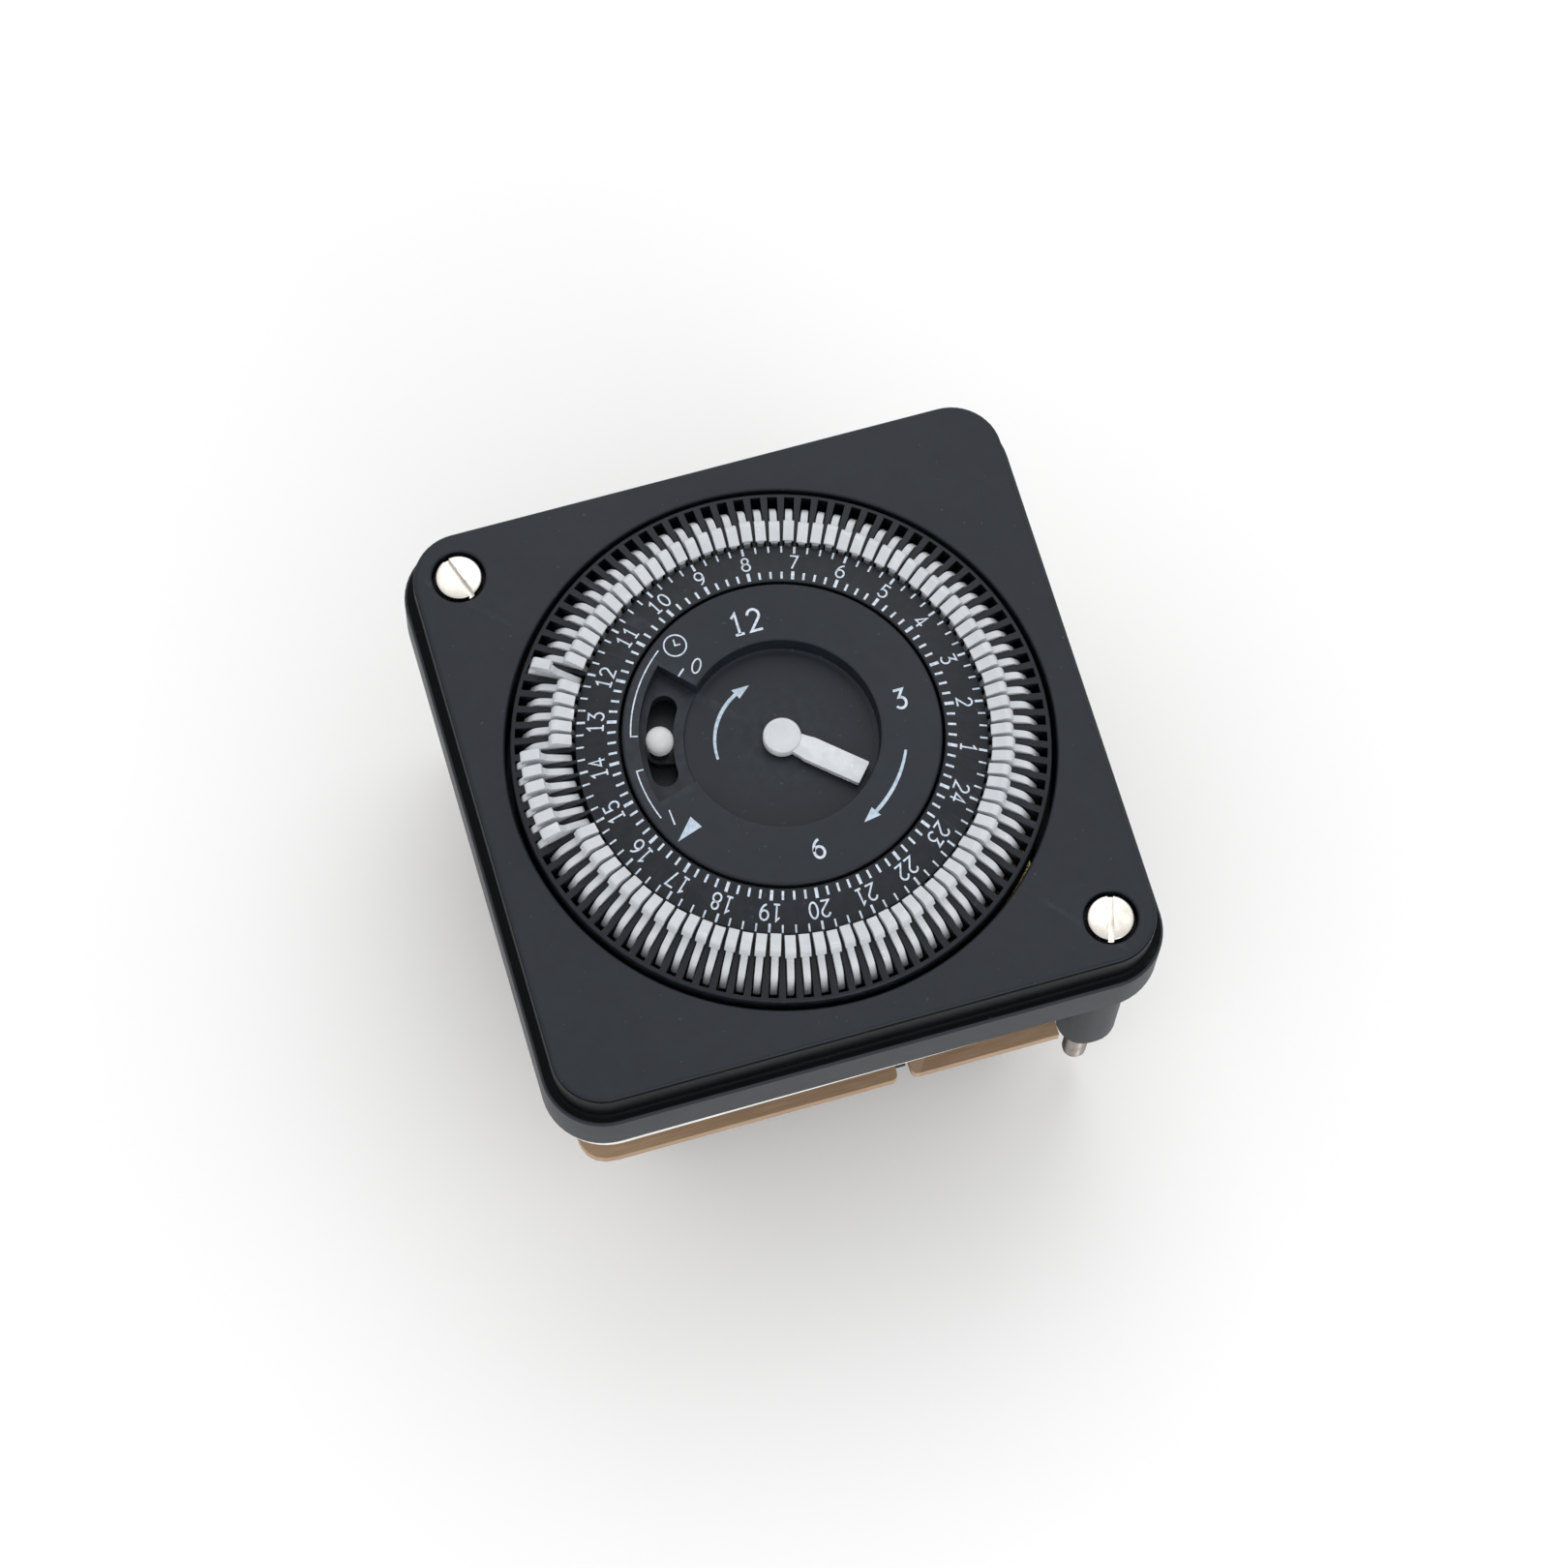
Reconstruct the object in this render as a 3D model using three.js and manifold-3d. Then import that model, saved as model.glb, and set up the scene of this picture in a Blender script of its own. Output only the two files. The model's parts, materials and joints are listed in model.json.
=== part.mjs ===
// Flush-mounted 24-hour segment timer on a 72 x 72 mm front, modelled as an assembly.
//
// Units are millimetres and +Z points out of the dial. The model is drawn with z = 0 on the
// face of the front bezel, and the whole group is then raised so that the rear face of the
// back cover lies on z = 0. +Y points to the "12" of the centre plate and +X to its "3".

import * as THREE from 'three';
import { mergeVertices } from 'three/addons/utils/BufferGeometryUtils.js';
import Module from 'manifold-3d';

const wasm = await Module();
wasm.setup();

// ---------------------------------------------------------------- driving dimensions

// Clearances
const RUN = 0.3; // between a moving piece and its neighbour
const BORE_PLAY = 0.1; // radial play of an arbor in its bore
const SEAT = 0.05; // between two pieces that touch
const STACK = 0.8; // between two wheels that pass over each other
const HEAD_PLAY = 0.2; // round and under a sunk screw head
const CUT = 1; // how far a cutting shape runs past the face it cuts

// Front bezel
const FRONT_SIZE = 72;
const FRONT_RADIUS = 7;
const SHELL = 2.2;
const FLANGE_HEIGHT = 7.4;
const STEP_HEIGHT = 5.1;
const STEP_INSET = 1.2;
const FACE_ROUND = 0.6;
const DIAL_HOLE_RADIUS = 31;
const WELL_WALL = 1.2;
const WELL_DEPTH = 8;
const GASKET_THICKNESS = 0.6;
const GASKET_PLAY = 0.3; // round the posts
const GASKET_TURN = 0.35; // degrees, the soft sheet sits a little askew

// Captive panel screws, in two opposite corners
const SCREW_PITCH = 59; // between the two screws, along X and along Y
const SCREW_HEAD_RADIUS = 2.65;
const SCREW_HEAD_HEIGHT = 2.2;
const SCREW_LENGTH = 50.8; // from the top of the head to the tip
const SCREW_NECK_RADIUS = 1.25;
const SCREW_THREAD_RADIUS = 1.5;
const SCREW_THREAD_LENGTH = 18;
const SCREW_TURN = [109, 74]; // degrees, how the two slots happen to stand
const SLOT_WIDTH = 0.6;
const SLOT_DEPTH = 0.8;
const COUNTERBORE_RADIUS = 3.1;
const BOSS_RADIUS = 3.2;
const BOSS_STRETCH = 0.8; // the post is this much wider on its outer side
const BOSS_LENGTH = 39; // from the face to the end of the post
const BOSS_BORE_RADIUS = 2.6;
const BOSS_LIP = 2.2;
const CLIP_THICKNESS = 0.6;
const CLIP_TRAVEL = 5.2; // how far a loosened screw can be pulled out

// Movement case, circuit board and back cover
const CASE_SIZE = 55;
const CASE_RADIUS = 6;
const CASE_WALL = 1.8;
const CASE_LIP_PLAY = 0.6; // between the case's lip and the bezel's wall
const CASE_POST_RADIUS = 2.6;
const MOTOR_ROOM = 0.45; // between the motor and the floor of the case
const LIP_THICKNESS = 1.5;
const BOARD_SIZE = 64.4;
const BOARD_RADIUS = 4;
const BOARD_THICKNESS = 1.6;
const BOARD_GAP = 0.3;
const BOARD_NOTCH_WIDTH = 1.7;
const BOARD_NOTCH_DEPTH = 5;
const BOARD_NOTCH_X = 6.6;
const COVER_SIZE = 50;
const COVER_RADIUS = 3;
const COVER_DEPTH = 19.1;
const COVER_POST_RADIUS = 3.3;
const COVER_HEAD_DEPTH = 3; // how deep the cover's screw heads are sunk
const VENT = { count: 4, pitch: 4, width: 1.6, length: 18, y: 2 };
const PILLAR_INSET = 4; // from the edge of the rear plate
const PILLAR_RADIUS = 1.8;
const STANDOFF_WALL = 0.4; // how much wider than a pillar its standoff is
const FASTENER_RADIUS = 0.95;
const FASTENER_HEAD_RADIUS = 2.2;
const FASTENER_HEAD_HEIGHT = 1.4;
const CASE_SCREW_PITCH = 57.2;

// Plug-in connector behind the board
const PIN_COUNT = 5;
const PIN_PITCH = 2.54;
const PIN_SIZE = 0.64;
const PIN_RECESS = 7.6; // from the mouth of the socket to the tip of a pin
const SOCKET_WIDTH = 15.4;
const SOCKET_HEIGHT = 6.4;
const SOCKET_DEPTH = 10.8;
const SOCKET_WALL = 1.5;
const SOCKET_Y = -12;
const SOCKET_RECESS = 0.6; // behind the rear face of the cover
const CAPACITOR = { width: 18, depth: 8.5, height: 13.5, y: 6, corner: 1 };
const RESISTOR = { radius: 2, length: 11, x: -1, rise: 2.4 };

// Program dial
const HOURS = 24;
const SEGMENTS = 4 * HOURS;
const DIAL_SIDES = 2 * HOURS; // flats of the turned dial
const DIAL_RADIUS = 30.4;
const DIAL_TURN = 325.1; // degrees from +X, where midnight stands
const SCALE_INNER_RADIUS = 18.2;
const SCALE_INNER_Z = 4;
const SLOT_INNER_RADIUS = 23.1;
const SLOT_INNER_Z = 2.6;
const SLOT_OUTER_RADIUS = 29.9;
const DIAL_EDGE_Z = 0.5;
const DIAL_BOTTOM_Z = -5;
const SEGMENT_SLOT = 1.15;
const WEB_TOP_Z = -1.4;
const WEB_THICKNESS = 1.2;
const HUB_WALL = 1.15;
const HUB_LENGTH = 4.9; // below the web's top
const UNDERCUT_RADIUS = 21.2; // the slots run in under the scale as far as this
const UNDERCUT_Z = 1.9;

// Trippers: one rocking lever for each quarter hour
const PIVOT_RADIUS = 26.6;
const PIVOT_Z = -2.8;
const HOOP_RADIUS = 0.42;
const LEVER_THICKNESS = 0.9;
const LEVER_HEAD_WIDTH = 1.35;
const LEVER_BORE = 0.75;
const LEVER_NECK = 6.2; // from the hinge to the underside of the head
const LEVER_TOP = 6.95;
const LEVER_TAIL = -3.3;
const LEVER_IN = -18; // degrees, head towards the scale
const LEVER_OUT = 14; // degrees, head towards the rim
const SET_SEGMENTS = [48, 54, 55, 56, 57, 58, 59];

// Centre plate, minute hand and selector
const PLATE_RADIUS = 17.9;
const PLATE_TOP_Z = 4.12;
const PLATE_THICKNESS = 3.8;
const PLATE_SKIN = 1.2;
const DISH_RADIUS = 11;
const DISH_FLOOR_Z = 1.6;
const POCKET_RADIUS = 16;
const POCKET_FLOOR_Z = 1.9;
const POCKET_START = 44.2; // degrees anticlockwise from "12"
const POCKET_END = 105.1;
const GUIDE_RADIUS = 13.7; // middle of the selector's slot
const GUIDE_WIDTH = 3;
const TUBE_RADIUS = 3.2;
const TUBE_BORE = 2.2;
const SELECTOR_AUTO = 77.4; // degrees anticlockwise from "12"
const SELECTOR_BACK = 17; // to the "off" end
const SELECTOR_FORWARD = 12.6; // to the "on" end
const SELECTOR_STEM_RADIUS = 1.1;
const KNOB_RADIUS = 1.55;
const KNOB_HEIGHT = 2.8;
const SLEEVE_WALL = 0.9;
const ARM_THICKNESS = 1;
const FINGER_REACH = 11;
const FINGER_WIDTH = 2;
const FINGER_TURN = 20; // degrees, from the arm to the finger
const HAND_LENGTH = 10.1;
const HAND_WIDTH = 2.8;
const HAND_HUB_RADIUS = 2.15;
const HAND_TURN = 131.3; // degrees clockwise from "12"
const HAND_THICKNESS = 0.9;
const HAND_HUB_RISE = 0.3;
const HAND_Z = 2.1;

// Gear trains
const GEAR_DEPTH = 1.2;
const PINION_PROUD = 0.2; // how far a pinion stands past the wheel that it drives
const DIAL_GEAR = { teeth: 48, module: 0.5 };
const DIAL_PINION = { teeth: 8, module: 0.5 };
const CENTRE_PINION = { teeth: 8, module: 0.7 };
const TRANSFER_GEAR = { teeth: 32, module: 0.7 };
const MINUTE_GEAR = { teeth: 32, module: 0.6 };
const SECOND_PINION = { teeth: 8, module: 0.6 };
const SECOND_GEAR = { teeth: 32, module: 0.5 };
const FIRST_PINION = { teeth: 8, module: 0.5 };
const FIRST_GEAR = { teeth: 32, module: 0.44 };
const ROTOR_PINION = { teeth: 8, module: 0.44 };
const TRANSFER_ANGLE = 20; // direction from the dial's axis
const SECOND_ANGLE = 250; // direction from the dial's axis
const FIRST_ANGLE = 330; // direction from the second wheel
const ROTOR_ANGLE = 60; // direction from the first wheel
const ARBOR_RADIUS = 0.75;
const MINUTE_ARBOR_RADIUS = 1;

// Movement plates, motor and switch
const FRONT_PLATE_Z = -12.2;
const FRONT_PLATE_THICKNESS = 1.2;
const FRONT_PLATE_ROOM = 0.8; // from its edge to the wall of the case
const REAR_PLATE_ROOM = 3.2;
const REAR_PLATE_THICKNESS = 1;
const PLATE_CORNER = 4;
const MOTOR_RADIUS = 9.5;
const MOTOR_DEPTH = 7.5;
const MOTOR_WALL = 0.8;
const ROTOR_RADIUS = 5.4;
const COIL_INNER_RADIUS = 6.2;
const SENSOR_PIVOT = [-21.5, 3];
const SENSOR_NOSE = [-20.35, -12.7];
const SENSOR_TAIL = [-13.5, 8];
const SENSOR_Z = -8.9;
const SENSOR_THICKNESS = 1.4;
const SENSOR_WIDTH = 2;
const SENSOR_NOSE_RADIUS = 0.9;
const SWITCH_BOX = { x: -17, y: -13.5, width: 6.4, length: 12.8, height: 5.75 };
const PLUNGER_RADIUS = 0.7;
const PLUNGER_FROM_PIVOT = 11; // along the sensing lever
const PLUNGER_STROKE = 3; // depth of its guide in the switch
const TERMINAL = { count: 3, length: 2.8, width: 2.2, thickness: 0.5 };

// ---------------------------------------------------------------- derived values

const HALF = FRONT_SIZE / 2;
const PANEL_HALF = HALF - STEP_INSET;
const STEP_Z = -STEP_HEIGHT;
const SEAT_Z = -(STEP_HEIGHT + FLANGE_HEIGHT);
const SCREW_AT = SCREW_PITCH / 2;
const FRONT_PLATE_SIZE = CASE_SIZE - 2 * (CASE_WALL + FRONT_PLATE_ROOM);
const REAR_PLATE_SIZE = CASE_SIZE - 2 * (CASE_WALL + REAR_PLATE_ROOM);
const PILLAR_AT = REAR_PLATE_SIZE / 2 - PILLAR_INSET;
const CASE_SCREW_AT = CASE_SCREW_PITCH / 2;
const CAVITY_HALF = HALF - SHELL;
const HEAD_RECESS = SCREW_HEAD_HEIGHT + HEAD_PLAY;
const BOSS_LIP_Z = -(HEAD_RECESS + BOSS_LIP);
const LIP_Z = SEAT_Z + 0.1;
const SLEEVE_BORE = TUBE_RADIUS + RUN;
const SLEEVE_RADIUS = SLEEVE_BORE + SLEEVE_WALL;
const HUB_BORE = SLEEVE_RADIUS + RUN + SEAT;
const HUB_RADIUS = HUB_BORE + HUB_WALL;
const PLATE_UNDERSIDE_Z = PLATE_TOP_Z - PLATE_THICKNESS;
const ARM_Z = WEB_TOP_Z + RUN + SEAT;
const FINGER_Z = SENSOR_Z + (SENSOR_THICKNESS - ARM_THICKNESS) / 2;
const FRONT_PLATE_BACK_Z = FRONT_PLATE_Z - FRONT_PLATE_THICKNESS;
const CENTRE_PINION_Z = FRONT_PLATE_BACK_Z - STACK - GEAR_DEPTH;
const MINUTE_GEAR_Z = CENTRE_PINION_Z - STACK - GEAR_DEPTH;
const SECOND_GEAR_Z = MINUTE_GEAR_Z - STACK - PINION_PROUD - GEAR_DEPTH;
const FIRST_GEAR_Z = SECOND_GEAR_Z - STACK - GEAR_DEPTH;
const DIAL_GEAR_Z = WEB_TOP_Z - WEB_THICKNESS - 1.4 - GEAR_DEPTH;
const REAR_PLATE_Z = FIRST_GEAR_Z - 2 * RUN;
const REAR_PLATE_BACK_Z = REAR_PLATE_Z - REAR_PLATE_THICKNESS;
const ARBOR_TOP_Z = FRONT_PLATE_Z - 2 * PINION_PROUD;
const ARBOR_END_Z = REAR_PLATE_BACK_Z + RUN;
const MOTOR_BACK_Z = REAR_PLATE_BACK_Z - SEAT - MOTOR_DEPTH;
const CASE_BACK_Z = MOTOR_BACK_Z - MOTOR_ROOM - LIP_THICKNESS;
const BOARD_Z = CASE_BACK_Z - BOARD_GAP;
const BOARD_BACK_Z = BOARD_Z - BOARD_THICKNESS;
const COVER_Z = BOARD_BACK_Z - BOARD_GAP;
const REAR_Z = COVER_Z - COVER_DEPTH;
const SOCKET_MOUTH_Z = REAR_Z + SOCKET_RECESS;
const PIN_HOLE = PIN_SIZE + 2 * BORE_PLAY;

const radians = (degrees) => (degrees * Math.PI) / 180;
const fromTwelve = (degrees) => radians(90 + degrees);
const polar = (radius, angle) => [radius * Math.cos(angle), radius * Math.sin(angle)];
const pitchRadius = (gear) => (gear.teeth * gear.module) / 2;
const centres = (a, b) => pitchRadius(a) + pitchRadius(b);
const stepFrom = (point, distance, degrees) => {
  const [dx, dy] = polar(distance, radians(degrees));
  return [point[0] + dx, point[1] + dy];
};

const TRANSFER_AT = stepFrom([0, 0], centres(DIAL_GEAR, DIAL_PINION), TRANSFER_ANGLE);
const SECOND_AT = stepFrom([0, 0], centres(MINUTE_GEAR, SECOND_PINION), SECOND_ANGLE);
const FIRST_AT = stepFrom(SECOND_AT, centres(SECOND_GEAR, FIRST_PINION), FIRST_ANGLE);
const ROTOR_AT = stepFrom(FIRST_AT, centres(FIRST_GEAR, ROTOR_PINION), ROTOR_ANGLE);
const PILLARS = [[-1, -1], [1, -1], [1, 1], [-1, 1]].map(([x, y]) => [x * PILLAR_AT, y * PILLAR_AT]);
const COVER_SCREWS = [PILLARS[1], PILLARS[3]];
const PANEL_SCREWS = [[-SCREW_AT, SCREW_AT], [SCREW_AT, -SCREW_AT]];
const CASE_SCREWS = [[-CASE_SCREW_AT, -CASE_SCREW_AT], [CASE_SCREW_AT, CASE_SCREW_AT]];

// ---------------------------------------------------------------- shape helpers

function outline(corners) {
  // A closed outline from [x, y, radius] corners, each rounded by its own radius.
  const shape = new THREE.Shape();
  corners.forEach(([x, y, radius], i) => {
    const corner = new THREE.Vector2(x, y);
    const [px, py] = corners[(i + corners.length - 1) % corners.length];
    const [nx, ny] = corners[(i + 1) % corners.length];
    const before = new THREE.Vector2(px - x, py - y).setLength(radius).add(corner);
    const after = new THREE.Vector2(nx - x, ny - y).setLength(radius).add(corner);
    if (i === 0) shape.moveTo(before.x, before.y);
    else shape.lineTo(before.x, before.y);
    if (radius > 0) shape.quadraticCurveTo(x, y, after.x, after.y);
  });
  shape.closePath();
  return shape;
}

function roundedSquare(half, radius, x = 0, y = 0) {
  const shape = new THREE.Shape();
  const reach = half - radius;
  shape.absarc(x + reach, y + reach, radius, 0, Math.PI / 2);
  shape.absarc(x - reach, y + reach, radius, Math.PI / 2, Math.PI);
  shape.absarc(x - reach, y - reach, radius, Math.PI, 1.5 * Math.PI);
  shape.absarc(x + reach, y - reach, radius, 1.5 * Math.PI, 2 * Math.PI);
  return shape;
}

function sector(inner, outer, start, end) {
  const shape = new THREE.Shape();
  shape.absarc(0, 0, outer, start, end);
  shape.absarc(0, 0, inner, end, start, true);
  shape.closePath();
  return shape;
}

function roundSlot(radius, width, start, end) {
  // An arc-shaped slot with round ends, its middle on the given radius.
  const shape = new THREE.Shape();
  const [ex, ey] = polar(radius, end);
  const [sx, sy] = polar(radius, start);
  shape.absarc(0, 0, radius + width / 2, start, end);
  shape.absarc(ex, ey, width / 2, end, end + Math.PI);
  shape.absarc(0, 0, radius - width / 2, end, start, true);
  shape.absarc(sx, sy, width / 2, start + Math.PI, start + 2 * Math.PI);
  return shape;
}

function bar(from, to, width) {
  // A straight bar with round ends between two points.
  const angle = Math.atan2(to[1] - from[1], to[0] - from[0]);
  const shape = new THREE.Shape();
  shape.absarc(from[0], from[1], width / 2, angle + Math.PI / 2, angle + 1.5 * Math.PI);
  shape.absarc(to[0], to[1], width / 2, angle - Math.PI / 2, angle + Math.PI / 2);
  shape.closePath();
  return shape;
}

function gearOutline({ teeth, module }, turn) {
  // Pointed teeth, a little thinner and shorter than full size, so they run free.
  const pitch = (2 * Math.PI) / teeth;
  const root = (module * (teeth - 2.4)) / 2;
  const tip = (module * (teeth + 1.5)) / 2;
  const points = [];
  for (let tooth = 0; tooth < teeth; tooth += 1) {
    const middle = turn + tooth * pitch;
    for (const [radius, offset] of [[root, -0.27], [tip, 0], [root, 0.27]]) {
      points.push(new THREE.Vector2(...polar(radius, middle + offset * pitch)));
    }
  }
  return new THREE.Shape(points);
}

function slab(shape, bottom, top, segments = 4) {
  const options = { depth: top - bottom, bevelEnabled: false, curveSegments: segments };
  return solid(new THREE.ExtrudeGeometry(shape, options).translate(0, 0, bottom));
}

function disc(radius, bottom, top, [x, y] = [0, 0], sides = 12) {
  const geometry = new THREE.CylinderGeometry(radius, radius, top - bottom, sides);
  return solid(geometry.rotateX(Math.PI / 2).translate(x, y, (top + bottom) / 2));
}

function box(min, max) {
  const size = max.map((value, i) => value - min[i]);
  const middle = max.map((value, i) => (value + min[i]) / 2);
  return solid(new THREE.BoxGeometry(...size).translate(...middle));
}

function turned(points, sides = 48, [x, y] = [0, 0]) {
  // A closed [radius, z] profile turned about a vertical axis.
  const profile = [...points, points[0]].map(([radius, z]) => new THREE.Vector2(radius, z));
  const geometry = new THREE.LatheGeometry(profile, sides);
  return solid(geometry.rotateX(Math.PI / 2).translate(x, y, 0));
}

function solid(geometry) {
  const bare = geometry.clone();
  bare.deleteAttribute('normal');
  bare.deleteAttribute('uv');
  const merged = mergeVertices(bare, 1e-4);
  return new wasm.Manifold(new wasm.Mesh({
    numProp: 3,
    vertProperties: new Float32Array(merged.attributes.position.array),
    triVerts: new Uint32Array(merged.index.array),
  }));
}

function join(first, ...others) {
  return others.reduce((sum, item) => sum.add(item), first);
}

function cut(body, ...tools) {
  return tools.reduce((rest, tool) => rest.subtract(tool), body);
}

function asGeometry(body) {
  const mesh = body.getMesh();
  const corners = new Float32Array(mesh.vertProperties);
  const geometry = new THREE.BufferGeometry();
  geometry.setAttribute('position', new THREE.BufferAttribute(corners, 3));
  geometry.setIndex(new THREE.BufferAttribute(new Uint32Array(mesh.triVerts), 1));
  geometry.computeVertexNormals();
  return geometry;
}

// ---------------------------------------------------------------- materials

const FINISHES = {
  blackPlastic: { color: 0x35383f, roughness: 0.62, metalness: 0 },
  darkPlastic: { color: 0x24262b, roughness: 0.55, metalness: 0 },
  whitePlastic: { color: 0xe6e7e8, roughness: 0.45, metalness: 0 },
  naturalPlastic: { color: 0xd9d3c0, roughness: 0.5, metalness: 0 },
  foam: { color: 0xf2f2ef, roughness: 0.9, metalness: 0 },
  board: { color: 0x99805f, roughness: 0.6, metalness: 0 },
  nickel: { color: 0xcfcac2, roughness: 0.3, metalness: 1 },
  steel: { color: 0x8f9195, roughness: 0.4, metalness: 1 },
  darkSteel: { color: 0x55514d, roughness: 0.45, metalness: 1 },
  brass: { color: 0xb5964e, roughness: 0.35, metalness: 1 },
  copper: { color: 0xa85f3a, roughness: 0.4, metalness: 0.6 },
  ceramic: { color: 0x3f3c3a, roughness: 0.7, metalness: 0 },
  yellowPlastic: { color: 0xd8b23a, roughness: 0.4, metalness: 0 },
};

const timer = new THREE.Group();
timer.position.z = -REAR_Z;

function add(name, body, finish, parent = timer) {
  const mesh = new THREE.Mesh(asGeometry(body), new THREE.MeshStandardMaterial(FINISHES[finish]));
  mesh.name = name;
  parent.add(mesh);
  return mesh;
}

// ---------------------------------------------------------------- front bezel and seal

function screwPost([x, y], room = 0) {
  const outer = [x + Math.sign(x) * BOSS_STRETCH, y];
  return slab(bar([x, y], outer, 2 * (BOSS_RADIUS + room)), -BOSS_LENGTH, -SHELL + SEAT);
}

function bezel() {
  const flange = slab(roundedSquare(HALF, FRONT_RADIUS), SEAT_Z, STEP_Z, 6);
  const panelShape = roundedSquare(PANEL_HALF, FRONT_RADIUS - STEP_INSET);
  const panel = solid(new THREE.ExtrudeGeometry(panelShape, {
    depth: STEP_HEIGHT - FACE_ROUND,
    bevelThickness: FACE_ROUND,
    bevelSize: FACE_ROUND,
    bevelOffset: -FACE_ROUND,
    bevelSegments: 2,
    curveSegments: 6,
  }).translate(0, 0, STEP_Z));
  const flangeCavity = slab(roundedSquare(CAVITY_HALF, FRONT_RADIUS - SHELL), SEAT_Z - CUT, STEP_Z - SHELL);
  const panelCavity = slab(
    roundedSquare(PANEL_HALF - SHELL, FRONT_RADIUS - STEP_INSET - SHELL),
    SEAT_Z - CUT,
    -SHELL,
  );
  const wellWall = disc(DIAL_HOLE_RADIUS + WELL_WALL, -WELL_DEPTH, -SHELL + SEAT, [0, 0], 72);
  const postEnd = LIP_Z + LIP_THICKNESS + SEAT;
  const casePosts = CASE_SCREWS.map((at) => disc(CASE_POST_RADIUS, postEnd, -SHELL + SEAT, at));
  const shell = join(
    cut(join(flange, panel), flangeCavity, panelCavity),
    wellWall,
    ...PANEL_SCREWS.map((at) => screwPost(at)),
    ...casePosts,
  );
  return cut(
    shell,
    disc(DIAL_HOLE_RADIUS, -BOSS_LENGTH, CUT, [0, 0], 72),
    ...PANEL_SCREWS.map((at) => disc(COUNTERBORE_RADIUS, -HEAD_RECESS, CUT, at, 20)),
    ...PANEL_SCREWS.map((at) => disc(SCREW_THREAD_RADIUS + RUN, -BOSS_LENGTH - CUT, CUT, at)),
    ...PANEL_SCREWS.map((at) => disc(BOSS_BORE_RADIUS, -BOSS_LENGTH - CUT, BOSS_LIP_Z, at)),
    ...CASE_SCREWS.map((at) => disc(FASTENER_RADIUS + SEAT, SEAT_Z, -STEP_HEIGHT, at)),
  );
}

function gasket() {
  const sheet = roundedSquare(HALF - 0.1, FRONT_RADIUS);
  sheet.holes.push(roundedSquare(CAVITY_HALF + 0.1, FRONT_RADIUS - SHELL));
  return cut(
    slab(sheet, SEAT_Z - SEAT - GASKET_THICKNESS, SEAT_Z - SEAT, 6),
    ...PANEL_SCREWS.map((at) => screwPost(at, GASKET_PLAY)),
  );
}

add('bezel', bezel(), 'blackPlastic');
add('gasket', gasket(), 'foam').rotation.z = radians(GASKET_TURN);

// ---------------------------------------------------------------- case, board, back cover

function movementCase() {
  const inside = CASE_SIZE / 2 - CASE_WALL;
  const lipHalf = CAVITY_HALF - CASE_LIP_PLAY;
  const lipCorner = SCREW_AT - BOSS_RADIUS - 1;
  const body = slab(roundedSquare(CASE_SIZE / 2, CASE_RADIUS), CASE_BACK_Z, LIP_Z + LIP_THICKNESS);
  const lip = cut(
    slab(roundedSquare(lipHalf, FRONT_RADIUS - SHELL - CASE_LIP_PLAY), LIP_Z, LIP_Z + LIP_THICKNESS),
    box([lipCorner, -HALF, SEAT_Z - CUT], [HALF, -lipCorner, 0]),
    box([-HALF, lipCorner, SEAT_Z - CUT], [-lipCorner, HALF, 0]),
    ...CASE_SCREWS.map((at) => disc(FASTENER_RADIUS + BORE_PLAY, SEAT_Z - CUT, 0, at)),
  );
  const cavity = slab(roundedSquare(inside, CASE_RADIUS - CASE_WALL), CASE_BACK_Z + LIP_THICKNESS, 0);
  const standoffs = PILLARS.map((at) => (
    disc(PILLAR_RADIUS + STANDOFF_WALL, CASE_BACK_Z + SEAT, REAR_PLATE_BACK_Z - SEAT, at)
  ));
  const holes = COVER_SCREWS.map((at) => (
    disc(FASTENER_RADIUS + SEAT, CASE_BACK_Z - CUT, REAR_PLATE_BACK_Z - 3, at)
  ));
  return cut(join(cut(join(body, lip), cavity), ...standoffs), ...holes);
}

function circuitBoard() {
  const half = BOARD_SIZE / 2;
  const corner = SCREW_AT - BOSS_RADIUS - BOSS_STRETCH - 0.1;
  const left = BOARD_NOTCH_X - BOARD_NOTCH_WIDTH / 2;
  const right = BOARD_NOTCH_X + BOARD_NOTCH_WIDTH / 2;
  const shape = outline([
    [-half, -half, BOARD_RADIUS],
    [left, -half, 0.8],
    [left, -half + BOARD_NOTCH_DEPTH, 0.6],
    [right, -half + BOARD_NOTCH_DEPTH, 0.6],
    [right, -half, 0.8],
    [corner, -half, 0],
    [corner, -corner, 0.5],
    [half, -corner, 0],
    [half, half, BOARD_RADIUS],
    [-corner, half, 0],
    [-corner, corner, 0.5],
    [-half, corner, 0],
  ]);
  return cut(
    slab(shape, BOARD_BACK_Z, BOARD_Z, 5),
    ...COVER_SCREWS.map((at) => disc(FASTENER_RADIUS + 0.4, BOARD_BACK_Z - CUT, 0, at)),
    ...pinPlaces().map(([x, y]) => pin(x, y, BOARD_BACK_Z - CUT, 0, PIN_HOLE)),
  );
}

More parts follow.
